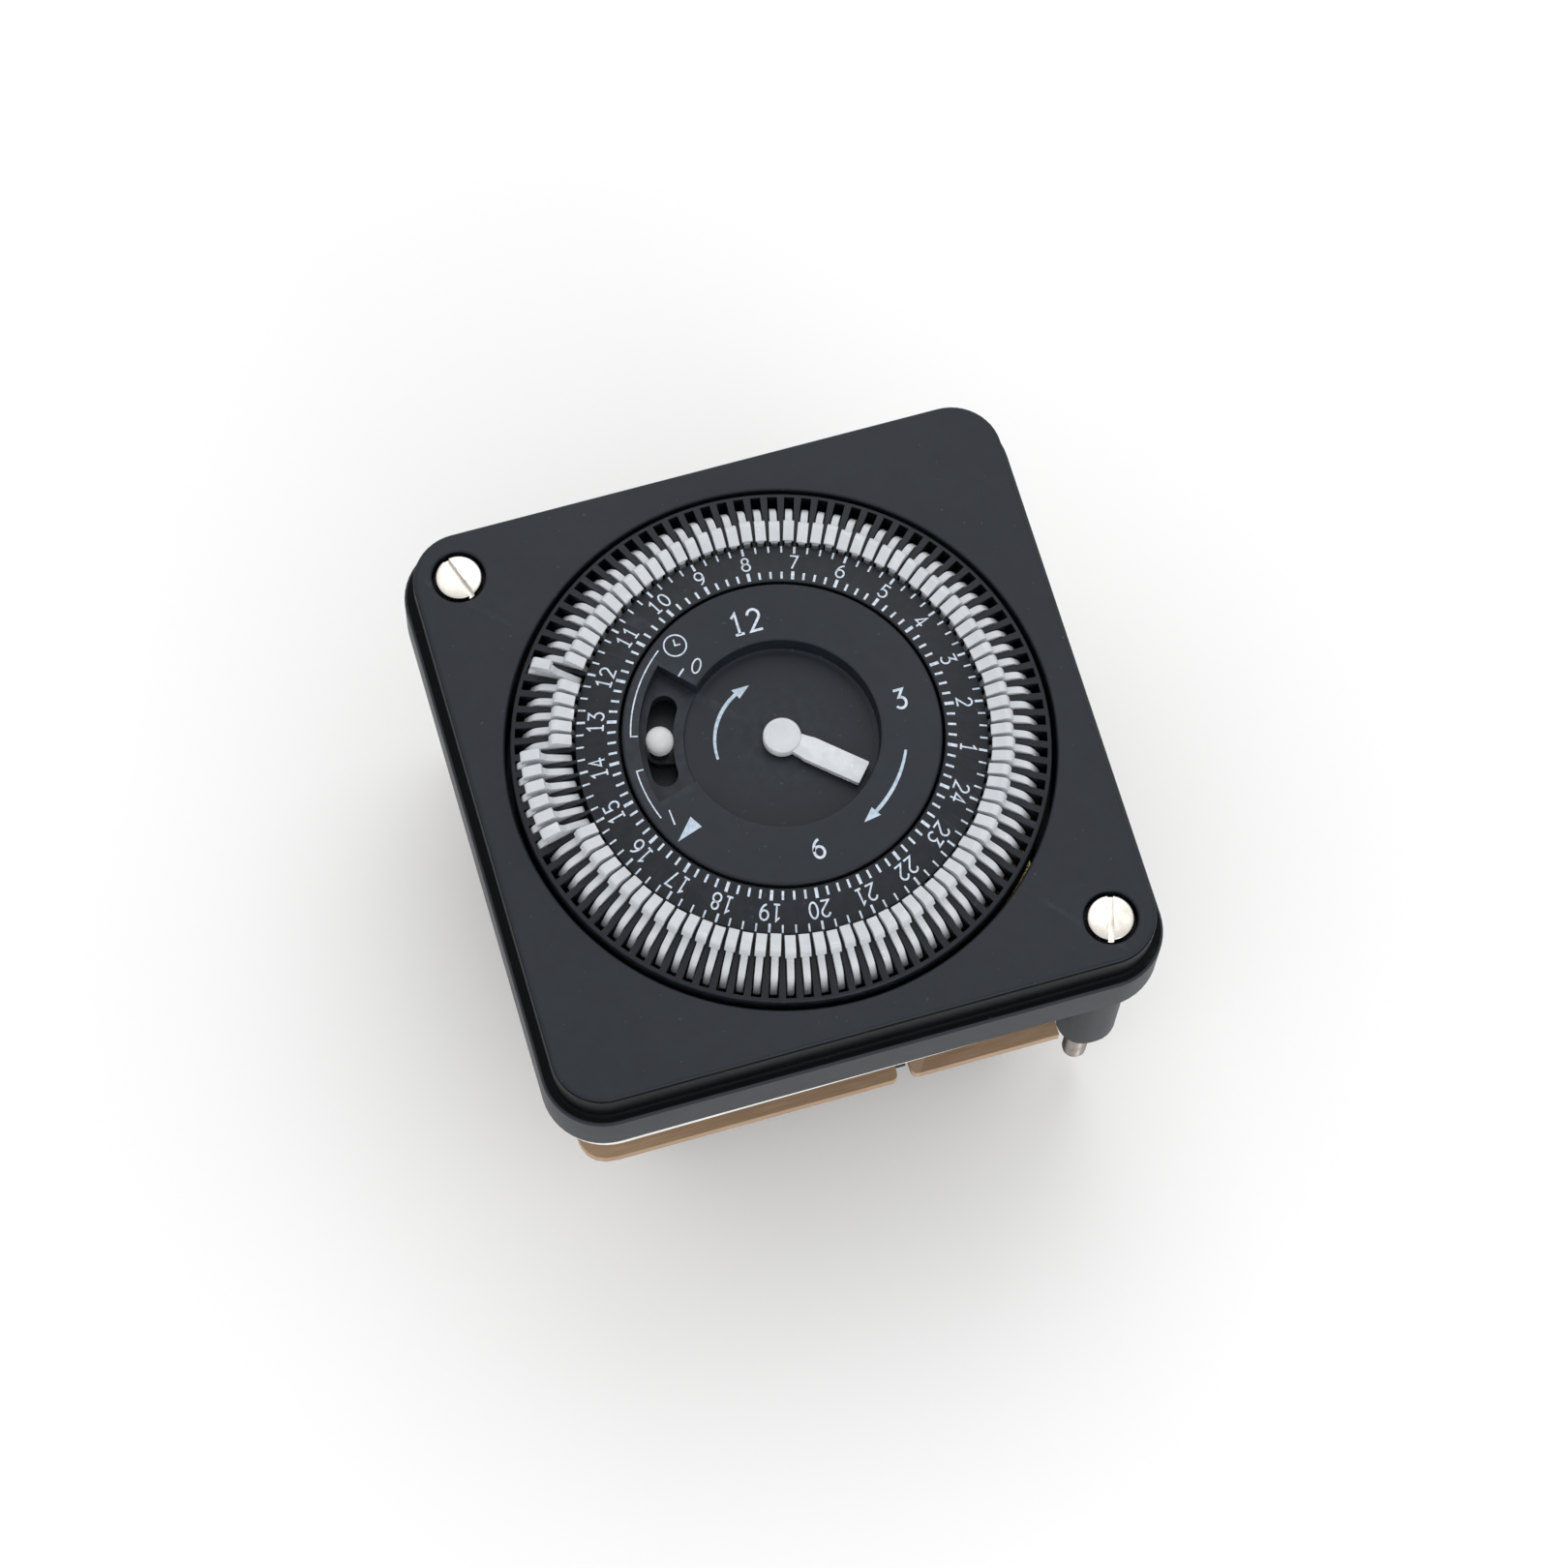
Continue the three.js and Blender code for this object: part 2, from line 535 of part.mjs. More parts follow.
function rearCover() {
  const body = slab(roundedSquare(COVER_SIZE / 2, COVER_RADIUS), REAR_Z, COVER_Z);
  const cavity = slab(
    roundedSquare(COVER_SIZE / 2 - CASE_WALL, COVER_RADIUS - CASE_WALL),
    REAR_Z + CASE_WALL,
    0,
  );
  const posts = COVER_SCREWS.map((at) => disc(COVER_POST_RADIUS, REAR_Z + SEAT, COVER_Z, at));
  const windowHalfX = SOCKET_WIDTH / 2 + SOCKET_WALL + RUN;
  const windowHalfY = SOCKET_HEIGHT / 2 + SOCKET_WALL + RUN;
  const floorTop = REAR_Z + CASE_WALL + CUT;
  const window = box(
    [-windowHalfX, SOCKET_Y - windowHalfY, REAR_Z - CUT],
    [windowHalfX, SOCKET_Y + windowHalfY, floorTop],
  );
  const vents = [];
  for (let row = 0; row < VENT.count; row += 1) {
    const y = VENT.y + VENT.pitch * row;
    vents.push(box([-VENT.length / 2, y, REAR_Z - CUT], [VENT.length / 2, y + VENT.width, floorTop]));
  }
  return cut(
    join(cut(body, cavity), ...posts),
    window,
    ...vents,
    ...COVER_SCREWS.map((at) => disc(FASTENER_RADIUS + RUN, REAR_Z - CUT, 0, at)),
    ...COVER_SCREWS.map((at) => (
      disc(FASTENER_HEAD_RADIUS + HEAD_PLAY, REAR_Z - CUT, REAR_Z + COVER_HEAD_DEPTH, at)
    )),
  );
}

add('movement_case', movementCase(), 'darkPlastic');
add('circuit_board', circuitBoard(), 'board');
add('rear_cover', rearCover(), 'darkPlastic');

// ---------------------------------------------------------------- connector and components

function pinPlaces() {
  const places = [];
  for (let i = 0; i < PIN_COUNT; i += 1) {
    places.push([(i - (PIN_COUNT - 1) / 2) * PIN_PITCH, SOCKET_Y]);
  }
  return places;
}

function pin(x, y, bottom, top, size = PIN_SIZE) {
  return box([x - size / 2, y - size / 2, bottom], [x + size / 2, y + size / 2, top]);
}

function connectorShroud() {
  const x = SOCKET_WIDTH / 2;
  const y = SOCKET_HEIGHT / 2;
  const outer = box(
    [-x - SOCKET_WALL, SOCKET_Y - y - SOCKET_WALL, SOCKET_MOUTH_Z],
    [x + SOCKET_WALL, SOCKET_Y + y + SOCKET_WALL, COVER_Z],
  );
  return cut(
    outer,
    box([-x, SOCKET_Y - y, SOCKET_MOUTH_Z - CUT], [x, SOCKET_Y + y, SOCKET_MOUTH_Z + SOCKET_DEPTH]),
    ...pinPlaces().map(([px, py]) => pin(px, py, SOCKET_MOUTH_Z, COVER_Z + CUT, PIN_HOLE)),
  );
}

add('connector_shroud', connectorShroud(), 'naturalPlastic');
pinPlaces().forEach(([x, y], i) => {
  add(`connector_pin_${i + 1}`, pin(x, y, SOCKET_MOUTH_Z + PIN_RECESS, BOARD_Z - 4 * SEAT), 'brass');
});

function capacitor() {
  const { width, depth, height, y, corner } = CAPACITOR;
  const shape = outline([
    [-width / 2, y, corner],
    [width / 2, y, corner],
    [width / 2, y + depth, corner],
    [-width / 2, y + depth, corner],
  ]);
  return slab(shape, COVER_Z - height, COVER_Z, 3);
}

function resistor() {
  const { radius, length, x, rise } = RESISTOR;
  const geometry = new THREE.CylinderGeometry(radius, radius, length, 16).rotateZ(Math.PI / 2);
  return solid(geometry.translate(x, 0, COVER_Z - rise));
}

add('capacitor', capacitor(), 'yellowPlastic');
add('resistor', resistor(), 'ceramic');

// ---------------------------------------------------------------- movement plates

function bores(places, bottom, top) {
  return places.map(([at, radius, sides]) => disc(radius + BORE_PLAY, bottom - CUT, top + CUT, at, sides));
}

function movementPlate(size, bottom, top, places) {
  const shape = roundedSquare(size / 2, PLATE_CORNER);
  return cut(slab(shape, bottom, top), ...bores(places, bottom, top));
}

add('front_plate', movementPlate(FRONT_PLATE_SIZE, FRONT_PLATE_BACK_Z, FRONT_PLATE_Z, [
  [[0, 0], TUBE_RADIUS, 24],
  [TRANSFER_AT, ARBOR_RADIUS],
  [SECOND_AT, ARBOR_RADIUS],
  [FIRST_AT, ARBOR_RADIUS],
]), 'brass');

add('rear_plate', movementPlate(REAR_PLATE_SIZE, REAR_PLATE_BACK_Z, REAR_PLATE_Z, [
  [[0, 0], MINUTE_ARBOR_RADIUS],
  [TRANSFER_AT, ARBOR_RADIUS],
  [SECOND_AT, ARBOR_RADIUS],
  [FIRST_AT, ARBOR_RADIUS],
  [ROTOR_AT, ARBOR_RADIUS],
]), 'brass');

PILLARS.forEach((at, i) => {
  const body = disc(PILLAR_RADIUS, REAR_PLATE_Z + SEAT, FRONT_PLATE_BACK_Z - SEAT, at);
  add(`pillar_${i + 1}`, body, 'steel');
});

// ---------------------------------------------------------------- motor

function motorCan() {
  const inner = MOTOR_RADIUS - MOTOR_WALL;
  const bore = ARBOR_RADIUS + BORE_PLAY;
  const top = REAR_PLATE_BACK_Z - SEAT;
  return turned([
    [bore, MOTOR_BACK_Z],
    [MOTOR_RADIUS, MOTOR_BACK_Z],
    [MOTOR_RADIUS, top],
    [inner, top],
    [inner, MOTOR_BACK_Z + MOTOR_WALL],
    [bore, MOTOR_BACK_Z + MOTOR_WALL],
  ], 28, ROTOR_AT);
}

function motorCoil() {
  const outer = MOTOR_RADIUS - MOTOR_WALL - BORE_PLAY;
  const bottom = MOTOR_BACK_Z + MOTOR_WALL + BORE_PLAY;
  const top = REAR_PLATE_BACK_Z - STACK;
  const profile = [[COIL_INNER_RADIUS, bottom], [outer, bottom], [outer, top], [COIL_INNER_RADIUS, top]];
  return turned(profile, 24, ROTOR_AT);
}

function motorRotor(turn) {
  const magnetBottom = MOTOR_BACK_Z + MOTOR_WALL + 2 * RUN;
  const gearTop = FIRST_GEAR_Z + GEAR_DEPTH;
  return join(
    disc(ROTOR_RADIUS, magnetBottom, REAR_PLATE_BACK_Z - 4 * RUN, ROTOR_AT, 20),
    disc(ARBOR_RADIUS, MOTOR_BACK_Z + PINION_PROUD, gearTop + RUN, ROTOR_AT, 16),
    gearAt(ROTOR_PINION, ROTOR_AT, FIRST_GEAR_Z - PINION_PROUD, gearTop + PINION_PROUD, turn),
  );
}

function gearAt(gear, [x, y], bottom, top, turn) {
  return slab(gearOutline(gear, turn), bottom, top).translate([x, y, 0]);
}

// A wheel's gap faces the tooth of the wheel that it meshes with, along the line of centres.
const towards = (degrees) => radians(degrees);
const gapTowards = (gear, degrees) => radians(degrees + 180 / gear.teeth);

add('motor_can', motorCan(), 'steel');
add('motor_coil', motorCoil(), 'copper');
add('motor_rotor', motorRotor(towards(ROTOR_ANGLE + 180)), 'darkSteel');

// ---------------------------------------------------------------- wheels

function compoundWheel(at, wheel, wheelZ, wheelTurn, pinion, pinionTop, pinionTurn, arborTop) {
  return join(
    gearAt(wheel, at, wheelZ, wheelZ + GEAR_DEPTH, wheelTurn),
    gearAt(pinion, at, wheelZ + SEAT, pinionTop, pinionTurn),
    disc(ARBOR_RADIUS, ARBOR_END_Z, arborTop, at, 16),
  );
}

add('first_wheel', compoundWheel(
  FIRST_AT,
  FIRST_GEAR,
  FIRST_GEAR_Z,
  gapTowards(FIRST_GEAR, ROTOR_ANGLE),
  FIRST_PINION,
  SECOND_GEAR_Z + GEAR_DEPTH + PINION_PROUD,
  towards(FIRST_ANGLE + 180),
  ARBOR_TOP_Z,
), 'naturalPlastic');

add('second_wheel', compoundWheel(
  SECOND_AT,
  SECOND_GEAR,
  SECOND_GEAR_Z,
  gapTowards(SECOND_GEAR, FIRST_ANGLE),
  SECOND_PINION,
  MINUTE_GEAR_Z + GEAR_DEPTH + PINION_PROUD,
  towards(SECOND_ANGLE + 180),
  ARBOR_TOP_Z,
), 'naturalPlastic');

function minuteWheel() {
  const turn = gapTowards(MINUTE_GEAR, SECOND_ANGLE);
  const gear = gearAt(MINUTE_GEAR, [0, 0], MINUTE_GEAR_Z, MINUTE_GEAR_Z + GEAR_DEPTH, turn);
  return cut(gear, disc(MINUTE_ARBOR_RADIUS + BORE_PLAY, MINUTE_GEAR_Z - CUT, 0));
}

function minuteArbor() {
  const top = HAND_Z + HAND_THICKNESS - BORE_PLAY;
  const pinionBottom = CENTRE_PINION_Z - PINION_PROUD;
  const pinionTop = CENTRE_PINION_Z + GEAR_DEPTH + PINION_PROUD;
  return join(
    disc(MINUTE_ARBOR_RADIUS, ARBOR_END_Z, top, [0, 0], 20),
    gearAt(CENTRE_PINION, [0, 0], pinionBottom, pinionTop, towards(TRANSFER_ANGLE)),
  );
}

function transferWheel() {
  const wheelTurn = gapTowards(TRANSFER_GEAR, TRANSFER_ANGLE + 180);
  const pinionTurn = towards(TRANSFER_ANGLE + 180);
  const pinionBottom = DIAL_GEAR_Z - 2 * PINION_PROUD;
  const pinionTop = DIAL_GEAR_Z + GEAR_DEPTH + 2 * PINION_PROUD;
  return join(
    gearAt(TRANSFER_GEAR, TRANSFER_AT, CENTRE_PINION_Z, CENTRE_PINION_Z + GEAR_DEPTH, wheelTurn),
    gearAt(DIAL_PINION, TRANSFER_AT, pinionBottom, pinionTop, pinionTurn),
    disc(ARBOR_RADIUS, ARBOR_END_Z, pinionTop + PINION_PROUD, TRANSFER_AT, 16),
  );
}

add('minute_wheel', minuteWheel(), 'naturalPlastic');
add('minute_arbor', minuteArbor(), 'steel');
add('transfer_wheel', transferWheel(), 'naturalPlastic');

// ---------------------------------------------------------------- program dial

function dialBody() {
  const webBottom = WEB_TOP_Z - WEB_THICKNESS;
  const hubBottom = WEB_TOP_Z - HUB_LENGTH;
  const wall = UNDERCUT_RADIUS - 1.2;
  const finBottom = PIVOT_Z + HOOP_RADIUS + RUN;
  const body = turned([
    [SCALE_INNER_RADIUS, SCALE_INNER_Z],
    [SCALE_INNER_RADIUS, WEB_TOP_Z],
    [HUB_BORE, WEB_TOP_Z],
    [HUB_BORE, hubBottom],
    [HUB_RADIUS, hubBottom],
    [HUB_RADIUS, webBottom],
    [wall, webBottom],
    [wall, DIAL_BOTTOM_Z],
    [UNDERCUT_RADIUS, DIAL_BOTTOM_Z],
    [UNDERCUT_RADIUS, UNDERCUT_Z],
    [SLOT_INNER_RADIUS, UNDERCUT_Z],
    [SLOT_INNER_RADIUS, finBottom],
    [SLOT_OUTER_RADIUS, finBottom],
    [SLOT_OUTER_RADIUS, DIAL_BOTTOM_Z],
    [DIAL_RADIUS, DIAL_BOTTOM_Z],
    [DIAL_RADIUS, DIAL_EDGE_Z],
    [SLOT_INNER_RADIUS, SLOT_INNER_Z],
  ], DIAL_SIDES);
  const y = SEGMENT_SLOT / 2;
  const flat = Math.cos(Math.PI / DIAL_SIDES);
  const slot = box(
    [SLOT_INNER_RADIUS * flat - 0.02, -y, DIAL_BOTTOM_Z],
    [SLOT_OUTER_RADIUS * flat, y, SLOT_INNER_Z + CUT],
  );
  const slots = [];
  for (let segment = 0; segment < SEGMENTS; segment += 1) {
    slots.push(slot.rotate([0, 0, segmentDegrees(segment)]));
  }
  return cut(body, wasm.Manifold.union(slots));
}

function segmentDegrees(segment) {
  return ((segment + 0.5) * 360) / SEGMENTS;
}

// Lever outlines as corners: distance outwards from the hinge, and height above it.
const LEVER_BLADE = [
  [1.5, LEVER_NECK],
  [-1.15, LEVER_NECK],
  [-1.5, 5.3],
  [-4.2, 3.6],
  [-1.15, 0],
  [-0.4, LEVER_TAIL],
  [0.4, LEVER_TAIL],
  [1.15, 0],
  [2.3, 3.2],
];
const LEVER_HEAD = [
  [-1.15, LEVER_NECK],
  [1.5, LEVER_NECK],
  [1.3, LEVER_TOP - 0.2],
  [0.9, LEVER_TOP],
  [-1.15, LEVER_TOP],
];
const LEVER_PLAIN = [
  [1.3, LEVER_TOP - 0.2],
  [-1.15, LEVER_TOP],
  [-1.5, 5.3],
  [-4.2, 3.6],
  [0, LEVER_TAIL],
  [2.3, 3.2],
];

function leverShape(points) {
  return new THREE.Shape(points.map(([u, w]) => new THREE.Vector2(u, w)));
}

function settableLever() {
  // Seen along its hinge: head at the top, a broad fan below it, hub and sensing tail.
  const blade = leverShape(LEVER_BLADE);
  blade.holes.push(new THREE.Path().absarc(0, 0, LEVER_BORE, 0, 2 * Math.PI));
  return join(
    slab(blade, -LEVER_THICKNESS / 2, LEVER_THICKNESS / 2, 5),
    slab(leverShape(LEVER_HEAD), -LEVER_HEAD_WIDTH / 2, LEVER_HEAD_WIDTH / 2),
  ).rotate([90, 0, 0]);
}

function restingLever() {
  // The same lever in one thickness, as a plain outline.
  return slab(leverShape(LEVER_PLAIN), -LEVER_THICKNESS / 2, LEVER_THICKNESS / 2).rotate([90, 0, 0]);
}

function hoop() {
  const geometry = new THREE.TorusGeometry(PIVOT_RADIUS, HOOP_RADIUS, 4, DIAL_SIDES);
  return solid(geometry.translate(0, 0, PIVOT_Z));
}

function restingTrippers() {
  const placed = restingLever().rotate([0, LEVER_IN, 0]).translate([PIVOT_RADIUS, 0, PIVOT_Z]);
  const all = [hoop()];
  for (let segment = 0; segment < SEGMENTS; segment += 1) {
    if (!SET_SEGMENTS.includes(segment)) all.push(placed.rotate([0, 0, segmentDegrees(segment)]));
  }
  return wasm.Manifold.union(all);
}

function dialGear() {
  const turn = gapTowards(DIAL_GEAR, TRANSFER_ANGLE);
  const gear = gearAt(DIAL_GEAR, [0, 0], DIAL_GEAR_Z, DIAL_GEAR_Z + GEAR_DEPTH, turn);
  return cut(gear, disc(HUB_RADIUS + SEAT, DIAL_GEAR_Z - CUT, 0, [0, 0], DIAL_SIDES));
}

const dial = new THREE.Group();
dial.rotation.z = radians(DIAL_TURN);
timer.add(dial);
add('program_dial', dialBody(), 'darkPlastic', dial);
add('tripper_ring', restingTrippers(), 'whitePlastic', dial);
add('dial_gear', dialGear(), 'naturalPlastic');

for (const segment of SET_SEGMENTS) {
  const spoke = new THREE.Group();
  spoke.rotation.z = radians(segmentDegrees(segment));
  dial.add(spoke);
  const tripper = add(`tripper_${segment}`, settableLever(), 'whitePlastic', spoke);
  tripper.position.set(PIVOT_RADIUS, 0, PIVOT_Z);
  tripper.rotation.y = radians(LEVER_OUT);
}

// ---------------------------------------------------------------- centre plate and selector

function centrePlate() {
  const start = fromTwelve(POCKET_START);
  const end = fromTwelve(POCKET_END);
  const endRoom = (GUIDE_WIDTH / 2 - SELECTOR_STEM_RADIUS) / GUIDE_RADIUS;
  const guideStart = fromTwelve(SELECTOR_AUTO - SELECTOR_BACK) - endRoom;
  const guideEnd = fromTwelve(SELECTOR_AUTO + SELECTOR_FORWARD) + endRoom;
  const inner = DISH_RADIUS + PLATE_SKIN;
  const outer = PLATE_RADIUS - PLATE_SKIN;
  const margin = PLATE_SKIN / inner;
  return cut(
    join(
      disc(PLATE_RADIUS, PLATE_UNDERSIDE_Z, PLATE_TOP_Z, [0, 0], 60),
      disc(TUBE_RADIUS, FRONT_PLATE_BACK_Z + SEAT, PLATE_UNDERSIDE_Z + SEAT, [0, 0], 24),
    ),
    disc(DISH_RADIUS, DISH_FLOOR_Z, PLATE_TOP_Z + CUT, [0, 0], 48),
    disc(TUBE_BORE, FRONT_PLATE_BACK_Z - CUT, PLATE_TOP_Z, [0, 0], 20),
    slab(sector(DISH_RADIUS - 0.6, POCKET_RADIUS, start, end), POCKET_FLOOR_Z, PLATE_TOP_Z + CUT, 10),
    slab(roundSlot(GUIDE_RADIUS, GUIDE_WIDTH, guideStart, guideEnd), -CUT, PLATE_TOP_Z, 8),
    slab(
      sector(inner, outer, end + margin, start + 2 * Math.PI - margin),
      PLATE_UNDERSIDE_Z - CUT,
      PLATE_TOP_Z - PLATE_SKIN,
      30,
    ),
  );
}

function selectorLever() {
  const direction = fromTwelve(SELECTOR_AUTO);
  const finger = polar(FINGER_REACH - FINGER_WIDTH / 2, fromTwelve(SELECTOR_AUTO - FINGER_TURN));
  const bore = disc(SLEEVE_BORE, FINGER_Z - CUT, CUT, [0, 0], 32);
  const end = polar(GUIDE_RADIUS, direction);
  return cut(
    join(
      disc(SLEEVE_RADIUS, FINGER_Z, ARM_Z + ARM_THICKNESS, [0, 0], 32),
      slab(bar([0, 0], end, GUIDE_WIDTH), ARM_Z, ARM_Z + ARM_THICKNESS),
      slab(bar([0, 0], finger, FINGER_WIDTH), FINGER_Z, FINGER_Z + ARM_THICKNESS),
      disc(SELECTOR_STEM_RADIUS, ARM_Z + SEAT, POCKET_FLOOR_Z + 0.5, end, 16),
    ),
    bore,
  );
}

function selectorKnob() {
  const bottom = POCKET_FLOOR_Z + 0.55;
  const shoulder = bottom + KNOB_HEIGHT - KNOB_RADIUS;
  const points = [[0, bottom], [KNOB_RADIUS, bottom]];
  for (let i = 0; i < 5; i += 1) {
    const [radius, rise] = polar(KNOB_RADIUS, (i * Math.PI) / 10);
    points.push([radius, shoulder + rise]);
  }
  points.push([0, bottom + KNOB_HEIGHT]);
  return turned(points, 16, polar(GUIDE_RADIUS, fromTwelve(SELECTOR_AUTO)));
}

function minuteHand() {
  const direction = fromTwelve(-HAND_TURN);
  const reach = HAND_LENGTH;
  const half = HAND_WIDTH / 2;
  const blade = box([0, -half, HAND_Z], [reach, half, HAND_Z + HAND_THICKNESS]);
  const hub = disc(HAND_HUB_RADIUS, HAND_Z, HAND_Z + HAND_THICKNESS + HAND_HUB_RISE, [0, 0], 32);
  const bore = disc(MINUTE_ARBOR_RADIUS + SEAT, HAND_Z - CUT, HAND_Z + HAND_THICKNESS, [0, 0], 20);
  return cut(join(blade, hub), bore).rotate([0, 0, THREE.MathUtils.radToDeg(direction)]);
}

add('centre_plate', centrePlate(), 'blackPlastic');
add('selector_lever', selectorLever(), 'darkPlastic');
add('selector_knob', selectorKnob(), 'whitePlastic');
add('minute_hand', minuteHand(), 'whitePlastic');

// ---------------------------------------------------------------- sensing lever and switch

function sensingLever() {
  const top = SENSOR_Z + SENSOR_THICKNESS;
  return cut(
    join(
      disc(SENSOR_WIDTH, SENSOR_Z, top, SENSOR_PIVOT, 20),
      slab(bar(SENSOR_PIVOT, SENSOR_NOSE, SENSOR_WIDTH), SENSOR_Z, top),
      slab(bar(SENSOR_PIVOT, SENSOR_TAIL, SENSOR_WIDTH), SENSOR_Z, top),
      disc(SENSOR_NOSE_RADIUS, SENSOR_Z, DIAL_BOTTOM_Z - RUN, SENSOR_NOSE, 16),
    ),
    disc(ARBOR_RADIUS + BORE_PLAY, SENSOR_Z - CUT, top + CUT, SENSOR_PIVOT, 16),
  );
}

function sensingPost() {
  const top = SENSOR_Z + SENSOR_THICKNESS + RUN;
  return disc(ARBOR_RADIUS, FRONT_PLATE_Z + SEAT, top, SENSOR_PIVOT, 16);
}

const SWITCH_BOTTOM_Z = FRONT_PLATE_Z + SEAT;
const PLUNGER_Y = SENSOR_PIVOT[1] - PLUNGER_FROM_PIVOT;
const PLUNGER_Z = SENSOR_Z + SENSOR_THICKNESS / 2;

function alongX(radius, from, to) {
  const geometry = new THREE.CylinderGeometry(radius, radius, to - from, 16).rotateZ(Math.PI / 2);
  return solid(geometry.translate((from + to) / 2, PLUNGER_Y, PLUNGER_Z));
}

function switchBody() {
  const { x, y, width, length, height } = SWITCH_BOX;
  return cut(
    box([x, y, SWITCH_BOTTOM_Z], [x + width, y + length, SWITCH_BOTTOM_Z + height]),
    alongX(PLUNGER_RADIUS + BORE_PLAY, x - CUT, x + PLUNGER_STROKE),
  );
}

function plunger() {
  const run = (SENSOR_NOSE[0] - SENSOR_PIVOT[0]) / (SENSOR_PIVOT[1] - SENSOR_NOSE[1]);
  const edge = SENSOR_PIVOT[0] + run * PLUNGER_FROM_PIVOT + SENSOR_WIDTH / 2;
  return alongX(PLUNGER_RADIUS, edge + RUN, SWITCH_BOX.x + PLUNGER_STROKE - 1.6);
}

function switchTerminal(i) {
  const { length, width, thickness } = TERMINAL;
  const x = SWITCH_BOX.x + SWITCH_BOX.width + SEAT;
  const y = SWITCH_BOX.y + SWITCH_BOX.length * (0.15 + 0.35 * i);
  const z = SWITCH_BOTTOM_Z + SWITCH_BOX.height / 2;
  return box([x, y - width / 2, z - thickness / 2], [x + length, y + width / 2, z + thickness / 2]);
}

add('sensing_lever', sensingLever(), 'naturalPlastic');
add('sensing_post', sensingPost(), 'steel');
add('switch_body', switchBody(), 'darkPlastic');
add('switch_plunger', plunger(), 'naturalPlastic');
for (let i = 0; i < TERMINAL.count; i += 1) {
  add(`switch_terminal_${i + 1}`, switchTerminal(i), 'nickel');
}

// ---------------------------------------------------------------- screws

function panelScrew(at, turn) {
  const headBottom = -SCREW_HEAD_HEIGHT;
  const half = SLOT_WIDTH / 2;
  const reach = SCREW_HEAD_RADIUS + CUT;
  const slot = box([-reach, -half, -SLOT_DEPTH], [reach, half, CUT]);
  return cut(
    join(
      disc(SCREW_HEAD_RADIUS, headBottom, 0, at, 24),
      disc(SCREW_NECK_RADIUS, -SCREW_LENGTH + SEAT, headBottom + SEAT, at, 16),
      disc(SCREW_THREAD_RADIUS, -SCREW_LENGTH, -SCREW_LENGTH + SCREW_THREAD_LENGTH, at, 16),
    ),
    slot.rotate([0, 0, turn]).translate([...at, 0]),
  );
}

function screwClip(at) {
  const top = BOSS_LIP_Z - CLIP_TRAVEL - HEAD_PLAY;
  const bottom = top - CLIP_THICKNESS;
  const inner = SCREW_NECK_RADIUS + SEAT;
  const outer = BOSS_BORE_RADIUS - 3 * SEAT;
  return turned([[inner, bottom], [outer, bottom], [outer, top], [inner, top]], 24, at);
}

function fastener(at, headBottom, tip) {
  return join(
    disc(FASTENER_HEAD_RADIUS, headBottom, headBottom + FASTENER_HEAD_HEIGHT, at, 16),
    disc(FASTENER_RADIUS, headBottom + SEAT, tip, at, 12),
  );
}

PANEL_SCREWS.forEach((at, i) => {
  add(`panel_screw_${i + 1}`, panelScrew(at, SCREW_TURN[i]), 'nickel');
  add(`screw_clip_${i + 1}`, screwClip(at), 'steel');
});

CASE_SCREWS.forEach((at, i) => {
  const bottom = LIP_Z - SEAT - FASTENER_HEAD_HEIGHT;
  add(`case_screw_${i + 1}`, fastener(at, bottom, -STEP_HEIGHT - 0.4), 'steel');
});

COVER_SCREWS.forEach((at, i) => {
  const bottom = REAR_Z + COVER_HEAD_DEPTH - SEAT - FASTENER_HEAD_HEIGHT;
  add(`cover_screw_${i + 1}`, fastener(at, bottom, REAR_PLATE_BACK_Z - 3.4), 'steel');
});

export default timer;
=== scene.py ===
"""Looks of a flush-mounted day timer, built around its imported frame.

Shapes are drawn in millimetres with z = 0 on the face of the bezel. `place` then brings each
piece into the frame, which is in metres with z = 0 on the rear face of the back cover.
"""

import json
import math

import bmesh
import bpy
from mathutils import Matrix, Quaternion, Vector


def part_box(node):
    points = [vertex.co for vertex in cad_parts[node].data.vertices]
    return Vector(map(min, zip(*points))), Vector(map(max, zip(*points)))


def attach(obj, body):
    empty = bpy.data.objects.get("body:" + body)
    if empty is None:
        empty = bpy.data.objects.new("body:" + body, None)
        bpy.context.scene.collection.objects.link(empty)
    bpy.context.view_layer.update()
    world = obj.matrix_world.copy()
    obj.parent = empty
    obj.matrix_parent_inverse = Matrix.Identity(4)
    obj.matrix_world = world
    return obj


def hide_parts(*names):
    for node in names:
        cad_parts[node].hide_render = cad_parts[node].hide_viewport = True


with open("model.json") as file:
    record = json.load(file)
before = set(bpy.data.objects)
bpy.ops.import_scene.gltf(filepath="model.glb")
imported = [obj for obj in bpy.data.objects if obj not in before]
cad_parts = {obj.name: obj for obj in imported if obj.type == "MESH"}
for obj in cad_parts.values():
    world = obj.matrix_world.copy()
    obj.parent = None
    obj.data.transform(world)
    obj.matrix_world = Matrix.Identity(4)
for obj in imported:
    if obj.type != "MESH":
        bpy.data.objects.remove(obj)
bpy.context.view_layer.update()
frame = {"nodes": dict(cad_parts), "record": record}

MM = 0.001
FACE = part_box("bezel")[1].z
TO_FRAME = Matrix.Translation((0, 0, FACE)) @ Matrix.Scale(MM, 4)
SMOOTH_ANGLE = math.radians(38)

# ------------------------------------------------------------------ camera

CAMERA_AT = Vector((-66.1, -177.1, 516.8))
CAMERA_AIM = Vector((-1.02, -4.53, 0.0))
CAMERA_ROLL = math.radians(4.55)
CAMERA_LENS = 112.57


